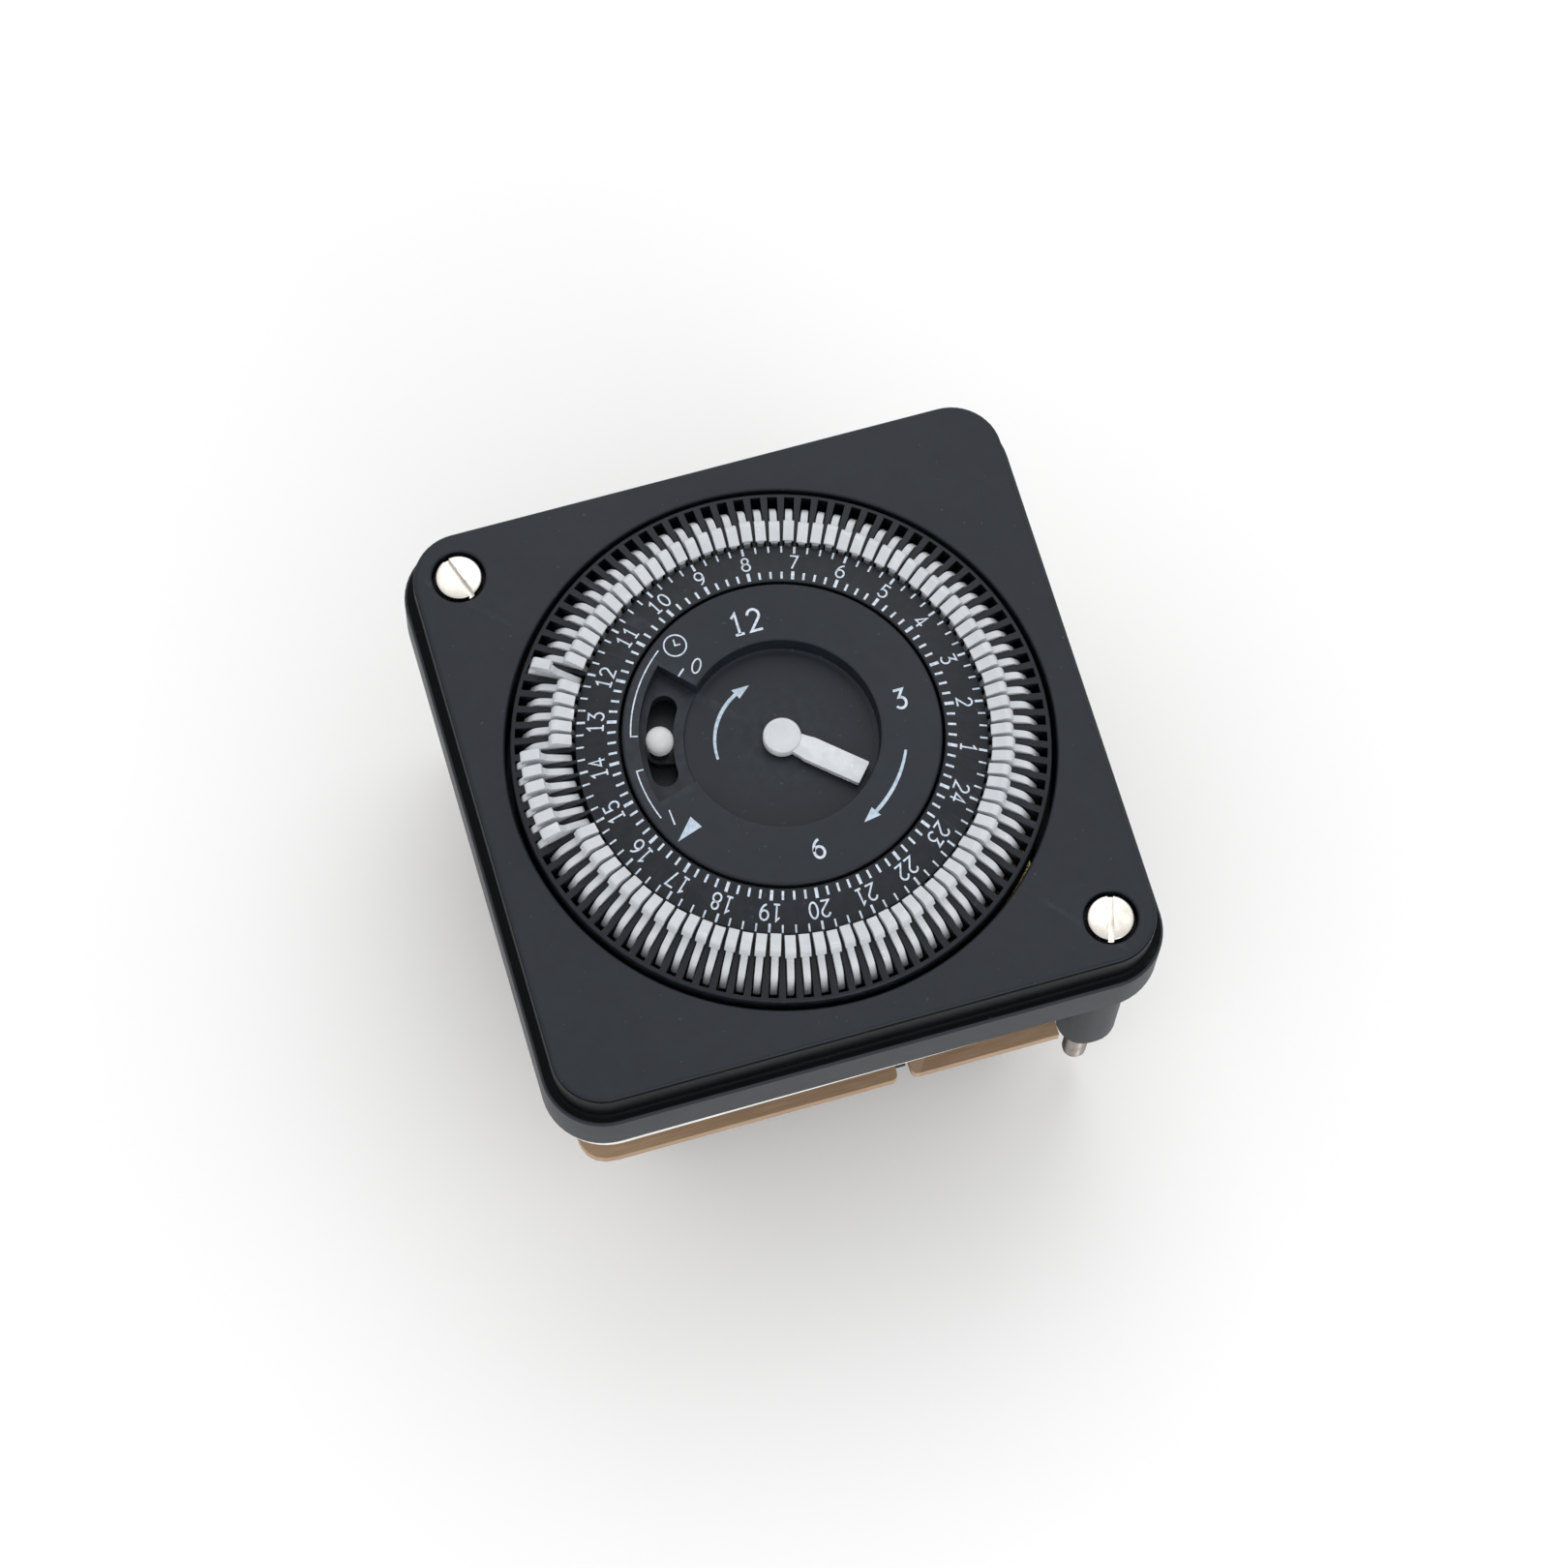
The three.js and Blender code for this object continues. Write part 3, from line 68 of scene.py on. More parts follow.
def set_camera():
    camera = bpy.data.objects.new("camera", bpy.data.cameras.new("camera"))
    bpy.context.scene.collection.objects.link(camera)
    camera.data.sensor_width = 36
    camera.data.lens = CAMERA_LENS
    camera.data.clip_start = 0.01
    camera.data.clip_end = 20
    camera.location = TO_FRAME @ CAMERA_AT
    camera.rotation_mode = "QUATERNION"
    look = (CAMERA_AIM - CAMERA_AT).to_track_quat("-Z", "Y")
    camera.rotation_quaternion = look @ Quaternion((0, 0, 1), CAMERA_ROLL)
    bpy.context.scene.camera = camera


# ------------------------------------------------------------------ shader maths


class Value:
    """A number travelling between shader nodes. Arithmetic on it adds Math nodes."""

    def __init__(self, tree, socket):
        self.tree = tree
        self.socket = socket

    def _math(self, operation, *terms):
        node = self.tree.nodes.new("ShaderNodeMath")
        node.operation = operation
        for entry, term in zip(node.inputs, terms):
            connect(self.tree, entry, term)
        return Value(self.tree, node.outputs[0])

    def __add__(self, other):
        return self._math("ADD", self, other)

    def __sub__(self, other):
        return self._math("SUBTRACT", self, other)

    def __rsub__(self, other):
        return self._math("SUBTRACT", other, self)

    def __mul__(self, other):
        return self._math("MULTIPLY", self, other)

    def __pow__(self, other):
        return self._math("POWER", self, other)

    def __gt__(self, other):
        return self._math("GREATER_THAN", self, other)

    __radd__ = __add__
    __rmul__ = __mul__


def connect(tree, entry, source):
    """Links a Value to a node's socket, or writes a plain number, colour or vector into it."""
    if isinstance(source, Value):
        tree.links.new(source.socket, entry)
    elif isinstance(source, tuple) and entry.type == "RGBA" and len(source) == 3:
        entry.default_value = (*source, 1)
    else:
        entry.default_value = source


class Finish:
    """A material: fixed numbers go on the shader itself, varying ones come from its nodes."""

    def __init__(self, name, **fixed):
        self.material = bpy.data.materials.new(name)
        self.material.use_nodes = True
        self.tree = self.material.node_tree
        self.shader = self.tree.nodes["Principled BSDF"]
        for key, value in fixed.items():
            self.set(key.replace("_", " ").title().replace("Ior", "IOR"), value)

    def set(self, key, value):
        connect(self.tree, self.shader.inputs[key], value)

    def node(self, kind, settings=(), sockets=(), output=0):
        """Any node: its settings come first, then the values or links of its sockets."""
        node = self.tree.nodes.new(kind)
        for key, value in dict(settings).items():
            setattr(node, key, value)
        for key, value in dict(sockets).items():
            connect(self.tree, node.inputs[key], value)
        return Value(self.tree, node.outputs[output])

    def place(self):
        return self.node("ShaderNodeTexCoord", output="Object")

    def stretched(self, scale):
        """Coordinates in metres, stretched along each axis."""
        return self.node(
            "ShaderNodeMapping", sockets={"Vector": self.place(), "Scale": scale}
        )

    def noise(self, per_metre, detail=2.0, where=None):
        sockets = {"Scale": per_metre, "Detail": detail, "Vector": where or self.place()}
        return self.node("ShaderNodeTexNoise", sockets=sockets)

    def between(self, value, low, high):
        """0 below low, 1 above high and a straight rise between them."""
        settings = {"clamp": True}
        sockets = {"Value": value, "From Min": low, "From Max": high}
        return self.node("ShaderNodeMapRange", settings, sockets)

    def mix(self, factor, first, second):
        """Two colours, mixed by a factor."""
        settings = {"data_type": "RGBA"}
        return self.node("ShaderNodeMix", settings, {0: factor, 6: first, 7: second}, output=2)

    def bump(self, height, strength, distance, under=None):
        sockets = {"Height": height, "Strength": strength, "Distance": distance * MM}
        if under is not None:
            sockets["Normal"] = under
        return self.node("ShaderNodeBump", sockets=sockets)

    def edges(self):
        """1 along rubbed outer edges, 0 elsewhere."""
        pointed = self.node("ShaderNodeNewGeometry", output="Pointiness")
        return self.between(pointed, 0.52, 0.60)


# ------------------------------------------------------------------ finishes


def moulded(name, colour, light, roughness, grain=2600, depth=0.02, spread=0.06, wear=0.5, **fixed):
    """Injection-moulded plastic: eroded grain, faint flow mottling, rubbed edges, fine dust."""
    finish = Finish(name, **fixed)
    mottle = finish.noise(420, 3)
    smudge = finish.between(finish.noise(38, 3), 0.45, 0.7)
    rubbed = finish.edges() * finish.between(finish.noise(700, 3), 0.35, 0.65) * wear
    dust = finish.between(finish.noise(1500, 1), 0.74, 0.78) * 0.35
    tone = finish.mix(finish.between(mottle, 0.3, 0.7), colour, light)
    tone = finish.mix(rubbed, tone, tuple(min(1.0, 2.6 * c + 0.01) for c in light))
    tone = finish.mix(dust, tone, tuple(min(1.0, 3.5 * c + 0.02) for c in light))
    finish.set("Base Color", tone)
    finish.set("Roughness", (mottle - 0.5) * spread + roughness - rubbed * 0.12 - smudge * 0.05)
    fine = finish.bump(finish.noise(grain, 3), 0.5, depth)
    finish.set("Normal", finish.bump(mottle, 0.08, 0.02, fine))
    return finish.material


def metal(name, colour, tarnish, roughness, stretch, depth=0.012, **fixed):
    """Plated or drawn metal: fine lines along one axis, light tarnish and brighter edges."""
    finish = Finish(name, metallic=1.0, **fixed)
    lines = finish.noise(1, 4, finish.stretched(stretch))
    cloud = finish.between(finish.noise(420, 4), 0.42, 0.72)
    rubbed = finish.edges()
    tone = finish.mix(cloud * 0.6, colour, tarnish)
    finish.set("Base Color", finish.mix(rubbed * 0.5, tone, colour))
    finish.set("Roughness", (lines - 0.5) * 0.25 + cloud * 0.12 + roughness - rubbed * 0.05)
    finish.set("Normal", finish.bump(lines, 0.5, depth))
    return finish.material


def printed(name, colour, faded, roughness=0.55):
    """Pad-printed ink: slightly uneven cover over the grain of the plastic."""
    finish = Finish(name)
    cover = finish.between(finish.noise(2300, 3), 0.3, 0.62)
    finish.set("Base Color", finish.mix(cover, faded, colour))
    finish.set("Roughness", cover * 0.1 + roughness)
    finish.set("Normal", finish.bump(cover, 0.3, 0.01))
    return finish.material


def laminate(name):
    """Resin-bonded paper board: warm brown sheet with fibres and a cut, paler edge."""
    finish = Finish(name, specular_ior_level=0.4)
    fibres = finish.noise(1, 5, finish.stretched((260, 2600, 900)))
    cloud = finish.noise(90, 3)
    tone = finish.mix(finish.between(fibres, 0.3, 0.7), (0.30, 0.185, 0.105), (0.41, 0.27, 0.165))
    tone = finish.mix(finish.between(cloud, 0.45, 0.75) * 0.35, tone, (0.24, 0.135, 0.07))
    tone = finish.mix(finish.edges() * 0.7, tone, (0.52, 0.38, 0.25))
    finish.set("Base Color", tone)
    finish.set("Roughness", fibres * 0.25 + 0.42)
    finish.set("Normal", finish.bump(fibres, 0.35, 0.03))
    return finish.material


def foam(name):
    """Closed-cell sealing foam with small open cells on its cut edge."""
    finish = Finish(name, sheen_weight=0.15, specular_ior_level=0.25)
    cells = finish.node(
        "ShaderNodeTexVoronoi", {"feature": "F1"}, {"Scale": 5200, "Vector": finish.place()}
    )
    soil = finish.between(finish.noise(260, 3), 0.5, 0.8)
    tone = finish.mix(soil * 0.5, (0.86, 0.86, 0.84), (0.66, 0.65, 0.62))
    finish.set("Base Color", tone)
    finish.set("Roughness", cells * 0.2 + 0.78)
    finish.set("Normal", finish.bump(cells, 0.7, 0.06))
    return finish.material


def winding(name):
    """Enamelled copper wire, turn beside turn."""
    finish = Finish(name, metallic=0.85, coat_roughness=0.2)
    turns = finish.node(
        "ShaderNodeTexWave",
        {"bands_direction": "Z", "wave_type": "BANDS"},
        {"Scale": 1600, "Distortion": 0.4, "Vector": finish.place()},
        output="Fac",
    )
    finish.set("Base Color", finish.mix(turns, (0.20, 0.06, 0.02), (0.52, 0.20, 0.07)))
    finish.set("Roughness", 0.5 - turns * 0.2)
    finish.set("Normal", finish.bump(turns, 0.8, 0.08))
    return finish.material


def solder(name):
    """Tinned copper pads with a dull, slightly wavy skin."""
    finish = Finish(name, metallic=1.0)
    skin = finish.noise(900, 4)
    finish.set("Base Color", finish.mix(skin, (0.42, 0.43, 0.43), (0.70, 0.71, 0.70)))
    finish.set("Roughness", skin * 0.3 + 0.22)
    finish.set("Normal", finish.bump(skin, 0.5, 0.06))
    return finish.material


LONG_LINES = (300, 300, 9000)
ROUND_LINES = (5200, 900, 900)
BLACK = moulded(
    "satin_black",
    (0.0085, 0.0115, 0.0175),
    (0.0115, 0.0150, 0.0220),
    0.50,
    wear=0.25,
    specular_ior_level=0.30,
)
# Near-black, almost unreflective plastic for the step, its foot and the ledge round the raised
# face: painted shade, dark like the shadow that falls there.
STEP_SHADE_BLACK = moulded(
    "painted_shade_black",
    (0.0030, 0.0035, 0.0045),
    (0.0040, 0.0045, 0.0060),
    0.35,
    depth=0.004,
    wear=0.7,
    specular_ior_level=0.05,
)
DARK = moulded(
    "dial_black",
    (0.0070, 0.0090, 0.0130),
    (0.0095, 0.0120, 0.0170),
    0.46,
    grain=3200,
    specular_ior_level=0.30,
)
HIDDEN_BLACK = moulded("case_black", (0.013, 0.014, 0.016), (0.019, 0.020, 0.023), 0.52, grain=1900)
WHITE = moulded(
    "lever_white",
    (0.53, 0.55, 0.585),
    (0.58, 0.60, 0.63),
    0.42,
    depth=0.008,
    wear=0.25,
    specular_ior_level=0.45,
)
KNOB = moulded("knob_white", (0.50, 0.51, 0.52), (0.60, 0.61, 0.62), 0.34, depth=0.01)
NATURAL = moulded("natural_nylon", (0.62, 0.58, 0.46), (0.70, 0.66, 0.54), 0.45, depth=0.01)
BOARD = laminate("paper_laminate")
SEAL = foam("white_foam")
NICKEL = metal("nickel_plate", (0.72, 0.69, 0.64), (0.50, 0.46, 0.41), 0.24, ROUND_LINES)
STEEL = metal("zinc_steel", (0.56, 0.57, 0.59), (0.38, 0.38, 0.39), 0.36, LONG_LINES)
DARK_STEEL = metal("rotor_steel", (0.20, 0.19, 0.18), (0.12, 0.11, 0.10), 0.45, LONG_LINES)
BRASS = metal("rolled_brass", (0.72, 0.54, 0.22), (0.46, 0.32, 0.12), 0.30, ROUND_LINES)
SCREW_STEEL = metal("threaded_steel", (0.34, 0.31, 0.29), (0.17, 0.14, 0.12), 0.38, LONG_LINES)
COPPER = winding("enamelled_copper")
CERAMIC = moulded("grey_ceramic", (0.055, 0.05, 0.047), (0.08, 0.073, 0.07), 0.7, grain=1500)
YELLOW = moulded("yellow_case", (0.62, 0.40, 0.05), (0.72, 0.48, 0.08), 0.35, depth=0.006)
TIN = solder("tinned_pads")
INK = printed("white_ink", (0.66, 0.74, 0.84), (0.40, 0.47, 0.56))
PALE_INK = printed("pale_blue_ink", (0.52, 0.62, 0.73), (0.33, 0.42, 0.52))

SLOT_FINISH = {
    "black_plastic": BLACK,
    "dark_plastic": HIDDEN_BLACK,
    "white_plastic": WHITE,
    "natural_plastic": NATURAL,
    "foam": SEAL,
    "board": BOARD,
    "nickel": NICKEL,
    "steel": STEEL,
    "dark_steel": DARK_STEEL,
    "brass": BRASS,
    "copper": COPPER,
    "ceramic": CERAMIC,
    "yellow_plastic": YELLOW,
}

# ------------------------------------------------------------------ shape helpers


def polar(radius, degrees):
    angle = math.radians(degrees)
    return radius * math.cos(angle), radius * math.sin(angle)


def from_twelve(degrees):
    """Degrees anticlockwise from the 12 of the centre plate, as degrees from +X."""
    return degrees + 90


def at_height(outline, z):
    return [(x, y, z) for x, y in outline]


def square(half, radius, corner_steps=12, side_steps=30):
    """A square outline with round corners, anticlockwise, with evenly divided sides."""
    reach = half - radius
    points = []
    for quarter in range(4):
        cx, cy = [(reach, reach), (-reach, reach), (-reach, -reach), (reach, -reach)][quarter]
        for step in range(corner_steps + 1):
            dx, dy = polar(radius, 90 * (quarter + step / corner_steps))
            points.append((cx + dx, cy + dy))
        nx, ny = [(-reach, reach), (-reach, -reach), (reach, -reach), (reach, reach)][quarter]
        ex, ey = polar(radius, 90 * (quarter + 1))
        ax, ay, bx, by = cx + ex, cy + ey, nx + ex, ny + ey
        for step in range(1, side_steps):
            share = step / side_steps
            points.append((ax + (bx - ax) * share, ay + (by - ay) * share))
    return points


def rectangle(x0, y0, x1, y1):
    return [(x0, y0), (x1, y0), (x1, y1), (x0, y1)]


def circle(radius, sides=64, at=(0, 0)):
    points = [polar(radius, 360 * i / sides) for i in range(sides)]
    return [(x + at[0], y + at[1]) for x, y in points]


def round_bar(start, end, radius, steps=14):
    """A bar with round ends between two points."""
    heading = math.degrees(math.atan2(end[1] - start[1], end[0] - start[0]))
    points = []
    for (cx, cy), first in ((end, heading - 90), (start, heading + 90)):
        for step in range(steps + 1):
            dx, dy = polar(radius, first + 180 * step / steps)
            points.append((cx + dx, cy + dy))
    return points


def ring_slot(radius, width, first, last, steps=24):
    """An arc-shaped slot with round ends, from one angle to another."""
    half = width / 2
    outer = [polar(radius + half, first + (last - first) * i / steps) for i in range(steps + 1)]
    inner = [polar(radius - half, last + (first - last) * i / steps) for i in range(steps + 1)]
    ex, ey = polar(radius, last)
    sx, sy = polar(radius, first)
    cap = range(1, 10)
    end = [(ex + dx, ey + dy) for dx, dy in (polar(half, last + 18 * i) for i in cap)]
    begin = [(sx + dx, sy + dy) for dx, dy in (polar(half, first + 180 + 18 * i) for i in cap)]
    return outer + end + inner + begin


def sector(inner, outer, first, last, steps=24):
    far = [polar(outer, first + (last - first) * i / steps) for i in range(steps + 1)]
    near = [polar(inner, last + (first - last) * i / steps) for i in range(steps + 1)]
    return far + near


def rounded(corners, radius, steps=5):
    """An outline whose corners are rounded by one radius, or by their own third number."""
    points = []
    for i, corner in enumerate(corners):
        here = Vector(corner[:2])
        reach = corner[2] if len(corner) > 2 else radius
        before = Vector(corners[i - 1][:2]) - here
        after = Vector(corners[(i + 1) % len(corners)][:2]) - here
        start = here + before.normalized() * min(reach, before.length / 2)
        end = here + after.normalized() * min(reach, after.length / 2)
        if reach == 0:
            points.append(tuple(here))
            continue
        for step in range(steps + 1):
            t = step / steps
            points.append(tuple(start * (1 - t) ** 2 + here * (2 * t * (1 - t)) + end * t * t))
    return points


def loft(rings, closed=False):
    """Faces between rings of equal length. An open loft gets a face at each end."""
    count = len(rings[0])
    points = [point for ring in rings for point in ring]
    faces = []
    for i in range(len(rings) if closed else len(rings) - 1):
        a, b = i * count, (i + 1) % len(rings) * count
        for j in range(count):
            k = (j + 1) % count
            faces.append((a + j, a + k, b + k, b + j))
    if not closed:
        faces.append(tuple(reversed(range(count))))
        faces.append(tuple(range(len(points) - count, len(points))))
    return points, faces


def prism(outline, low, high):
    return loft([at_height(outline, low), at_height(outline, high)])


def turned(profile, sides=64, at=(0, 0), closed=False):
    """A [radius, z] profile turned about a vertical axis."""
    return loft([at_height(circle(r, sides, at), z) for r, z in profile], closed)


def quarter_round(radius, z, size, inward, steps=4):
    """Profile points of a rounded edge. It starts on the wall and ends on the top face."""
    points = []
    for step in range(steps + 1):
        dx, dy = polar(size, 90 * step / steps)
        points.append((radius - size + dx if inward else radius + size - dx, z - size + dy))
    return points


def moved(shape, matrix):
    points, faces = shape
    return [tuple(matrix @ Vector(point)) for point in points], faces


def draw(name, *shapes):
    """A mesh object in millimetres from one or more closed shapes."""
    form = bmesh.new()
    for points, faces in shapes:
        corners = [form.verts.new(point) for point in points]
        for face in faces:
            form.faces.new([corners[i] for i in face])
    bmesh.ops.recalc_face_normals(form, faces=form.faces)
    mesh = bpy.data.meshes.new(name)
    form.to_mesh(mesh)
    form.free()
    piece = bpy.data.objects.new(name, mesh)
    bpy.context.scene.collection.objects.link(piece)
    return piece


def settle(piece):
    """Keeps what the modifiers made as the piece's own mesh."""
    view = bpy.context.evaluated_depsgraph_get()
    mesh = bpy.data.meshes.new_from_object(piece.evaluated_get(view))
    piece.modifiers.clear()
    piece.data = mesh
    return piece


def carve(piece, *tools, operation="DIFFERENCE"):
    """Cuts the tools out of a piece, or joins them to it."""
    for tool in tools:
        modifier = piece.modifiers.new("carve", "BOOLEAN")
        modifier.operation = operation
        modifier.solver = "EXACT"
        modifier.object = tool
    bpy.context.view_layer.update()
    settle(piece)
    for tool in tools:
        bpy.data.objects.remove(tool)
    return piece


def soften(piece, width, steps=2, angle=40):
    """Rounds the edges of a piece."""
    modifier = piece.modifiers.new("soften", "BEVEL")
    modifier.width = width
    modifier.segments = steps
    modifier.limit_method = "ANGLE"
    modifier.angle_limit = math.radians(angle)
    modifier.miter_outer = "MITER_ARC"
    bpy.context.view_layer.update()
    return settle(piece)


def place(piece, body, slot, *replaced, finish=None):
    """Brings a finished piece into the frame, on its body, in its finish."""
    piece.data.transform(TO_FRAME)
    piece.data.materials.clear()
    piece.data.materials.append(finish or SLOT_FINISH[slot])
    piece.data.shade_smooth()
    piece.data.set_sharp_from_angle(angle=SMOOTH_ANGLE)
    even = piece.modifiers.new("even_shading", "WEIGHTED_NORMAL")
    even.keep_sharp = True
    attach(piece, body)
    if replaced:
        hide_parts(*replaced)
    return piece


def middle(node):
    """Centre of a node in plan, in millimetres."""
    low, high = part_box(node)
    centre = (low + high) / (2 * MM)
    return centre.x, centre.y


def levels(node):
    """Lowest and highest z of a node, in millimetres from the bezel's face."""
    low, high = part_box(node)
    return (low.z - FACE) / MM, (high.z - FACE) / MM


# ------------------------------------------------------------------ bezel and seal

HALF = 36.0
CORNER = 7.0
SHELL = 2.2
STEP_Z = -5.1
SEAT_Z = -12.5
PANEL_HALF = 34.8
PANEL_CORNER = 5.8
HOLE_RADIUS = 31.0
WELL_RADIUS = 32.2
WELL_Z = -8.0
POST_RADIUS = 3.2
POST_STRETCH = 0.8
POST_END_Z = -39.0
SCREW_SEAT_Z = -2.4
COUNTERBORE_RADIUS = 3.1
POST_BORE_RADIUS = 2.3
# Step-zone faces at the corners beyond this reach from the centre also take the painted shade
# black.
SHADE_CORNER_REACH = 45.2
GASKET_TURN = math.radians(0.35)
SCREWS = [middle("panel_screw_1"), middle("panel_screw_2")]


def hole_ring(radius, z):
    """A circle whose points face the points of the square outline."""
    ring = []
    for x, y in square(PANEL_HALF, PANEL_CORNER):
        length = math.hypot(x, y)
        ring.append((x * radius / length, y * radius / length, z))
    return ring


def post(x, y, radius, low, high):
    outer = (x + math.copysign(POST_STRETCH, x), y)
    return prism(round_bar((x, y), outer, radius), low, high)


def make_bezel():
    """Shell with a stepped edge, one closed loft; posts are joined on and bores cut last."""
    edge = 0.55
    foot = 0.45
    flange_edge = 0.5
    rings = [at_height(square(HALF - 0.15, CORNER - 0.15), SEAT_Z)]
    rings.append(at_height(square(HALF, CORNER), SEAT_Z + 0.2))
    for reach, z in quarter_round(HALF, STEP_Z, flange_edge, True):
        rings.append(at_height(square(reach, CORNER - (HALF - reach)), z))
    for step in range(5):
        dx, dz = polar(foot, 90 + 90 * step / 4)
        half = PANEL_HALF + foot + dx
        z = STEP_Z + foot - dz
        rings.append(at_height(square(half, PANEL_CORNER + half - PANEL_HALF), z))
    for reach, z in quarter_round(PANEL_HALF, 0, edge, True):
        rings.append(at_height(square(reach, PANEL_CORNER - (PANEL_HALF - reach)), z))
    for reach, z in reversed(quarter_round(HOLE_RADIUS, 0, 0.35, False)):
        rings.append(hole_ring(reach, z))
    rings.append(hole_ring(HOLE_RADIUS, WELL_Z))
    rings.append(hole_ring(WELL_RADIUS, WELL_Z))
    rings.append(hole_ring(WELL_RADIUS, -SHELL))
    inner = PANEL_HALF - SHELL
    cavity = HALF - SHELL
    rings.append(at_height(square(inner, PANEL_CORNER - SHELL), -SHELL))
    rings.append(at_height(square(inner, PANEL_CORNER - SHELL), STEP_Z - SHELL))
    rings.append(at_height(square(cavity, CORNER - SHELL), STEP_Z - SHELL))
    rings.append(at_height(square(cavity, CORNER - SHELL), SEAT_Z))
    piece = draw("bezel", loft(rings, closed=True))
    posts = []
    for i, (x, y) in enumerate(SCREWS):
        rod = draw(f"post_{i}", post(x, y, POST_RADIUS, POST_END_Z, -SHELL + 0.05))
        posts.append(soften(rod, 0.5, 3))
    carve(piece, *posts, operation="UNION")
    bores = []
    for i, at in enumerate(SCREWS):
        chamfer = 0.18
        sink = [
            (POST_BORE_RADIUS, POST_END_Z - 1),
            (POST_BORE_RADIUS, SCREW_SEAT_Z),
            (COUNTERBORE_RADIUS, SCREW_SEAT_Z),
            (COUNTERBORE_RADIUS, -chamfer),
            (COUNTERBORE_RADIUS + chamfer + 0.2, 0.2),
        ]
        bores.append(draw(f"bore_{i}", turned(sink, 48, at)))
    carve(piece, *bores)
    place(piece, "chassis", "black_plastic", "bezel")
    # The step, its foot, the ledge and the panel's rounded edge take the painted shade black, which
    # stands in for the shadow under the raised face.
    piece.data.materials.append(STEP_SHADE_BLACK)
    low = (STEP_Z - 0.05) * MM + FACE
    high = -0.12 * MM + FACE
    for face in piece.data.polygons:
        x, y, z = face.center
        reach = max(abs(x), abs(y)) / MM
        if low < z < high and reach > PANEL_HALF - 0.45 - 0.5 * (z < FACE - MM):
            face.material_index = 1
        if low < z < high and math.hypot(x, y) / MM > SHADE_CORNER_REACH:
            face.material_index = 1


def make_gasket():
    """A soft cut sheet that sits a little askew under the flange."""
    turn = Matrix.Rotation(GASKET_TURN, 4, "Z")
    bottom, top = levels("gasket")
    outer, inner = HALF - 0.1, HALF - SHELL + 0.1
    rings = [
        at_height(square(outer - 0.08, CORNER), bottom),
        at_height(square(outer, CORNER), bottom + 0.15),
        at_height(square(outer, CORNER), top - 0.15),
        at_height(square(outer - 0.08, CORNER), top),
        at_height(square(inner, CORNER - SHELL), top),
        at_height(square(inner, CORNER - SHELL), bottom),
    ]
    piece = draw("gasket", moved(loft(rings, closed=True), turn))
    place(piece, "chassis", "foam", "gasket")


# ------------------------------------------------------------------ case, board and back cover

CASE_HALF = 27.5
CASE_CORNER = 6.0
LIP_HALF = 33.2
LIP_CORNER = 4.2
LIP_THICKNESS = 1.5
BOARD_HALF = 32.2
BOARD_NOTCH = (5.75, 7.45, 5.0)
COVER_HALF = 25.0
COVER_CORNER = 3.0
COVER_POST_RADIUS = 3.3
SOCKET_Y = -12.0
SOCKET_HALF = (7.7, 3.2)
SOCKET_WALL = 1.5
SOCKET_ROOM = 0.3
VENT_RADIUS = 0.8
VENT_PITCH = 4.0
WALL = 1.8
SCREW_REACH = 29.5
CASE_SCREWS = [middle("case_screw_1"), middle("case_screw_2")]
COVER_SCREWS = [middle("cover_screw_1"), middle("cover_screw_2")]


def make_case():
    low, high = levels("movement_case")
    lip_low = SEAT_Z + 0.1
    lip = draw("lip", prism(square(LIP_HALF, LIP_CORNER, 8, 2), lip_low, lip_low + LIP_THICKNESS))
    clear = SCREW_REACH - POST_RADIUS - 1
    notches = [
        draw("notch_a", prism(rectangle(clear, -40, 40, -clear), -20, 0)),
        draw("notch_b", prism(rectangle(-40, clear, -clear, 40), -20, 0)),
    ]
    carve(lip, *notches)
    body = draw("movement_case", prism(square(CASE_HALF, CASE_CORNER, 10, 2), low, high - 0.2))
    soften(body, 0.6, 3)
    inside = square(CASE_HALF - WALL, CASE_CORNER - WALL, 10, 2)
    hollow = draw("hollow", prism(inside, low + LIP_THICKNESS, 0))
    carve(body, lip, operation="UNION")
    carve(body, hollow)
    ribs = []
    for side in range(4):
        turn = Matrix.Rotation(math.radians(90 * side), 4, "Z")
        for offset in (-16, -8, 0, 8, 16):
            outline = rectangle(offset - 0.5, CASE_HALF - 0.4, offset + 0.5, CASE_HALF + 0.7)
            ribs.append(moved(prism(outline, low + 1.2, lip_low + 0.3), turn))
    rib_piece = draw("ribs", *ribs)
    soften(rib_piece, 0.12, 2)
    carve(body, rib_piece, operation="UNION")
    soften(body, 0.12, 2, 50)
    place(body, "chassis", "dark_plastic", "movement_case")


def board_outline():
    half = BOARD_HALF
    corner = SCREW_REACH - POST_RADIUS - POST_STRETCH - 0.1
    left, right, depth = BOARD_NOTCH
    corners = [
        (-half, -half, 4),
        (left, -half, 0.9),
        (left, -half + depth, 0.5),
        (right, -half + depth, 0.5),
        (right, -half, 0.9),
        (corner, -half, 0),
        (corner, -corner, 0.5),
        (half, -corner, 0),
        (half, half, 4),
        (-corner, half, 0),
        (-corner, corner, 0.5),
        (-half, corner, 0),
    ]
    return rounded(corners, 0.5)


def make_board():
    low, high = levels("circuit_board")
    piece = draw("circuit_board", prism(board_outline(), low, high))
    drill = [(1.35, low - 1), (1.35, high + 1)]
    carve(piece, *[draw(f"drill_{i}", turned(drill, 24, at)) for i, at in enumerate(COVER_SCREWS)])
    soften(piece, 0.08, 2)
    place(piece, "chassis", "board", "circuit_board")
    make_tracks(low - 0.04)


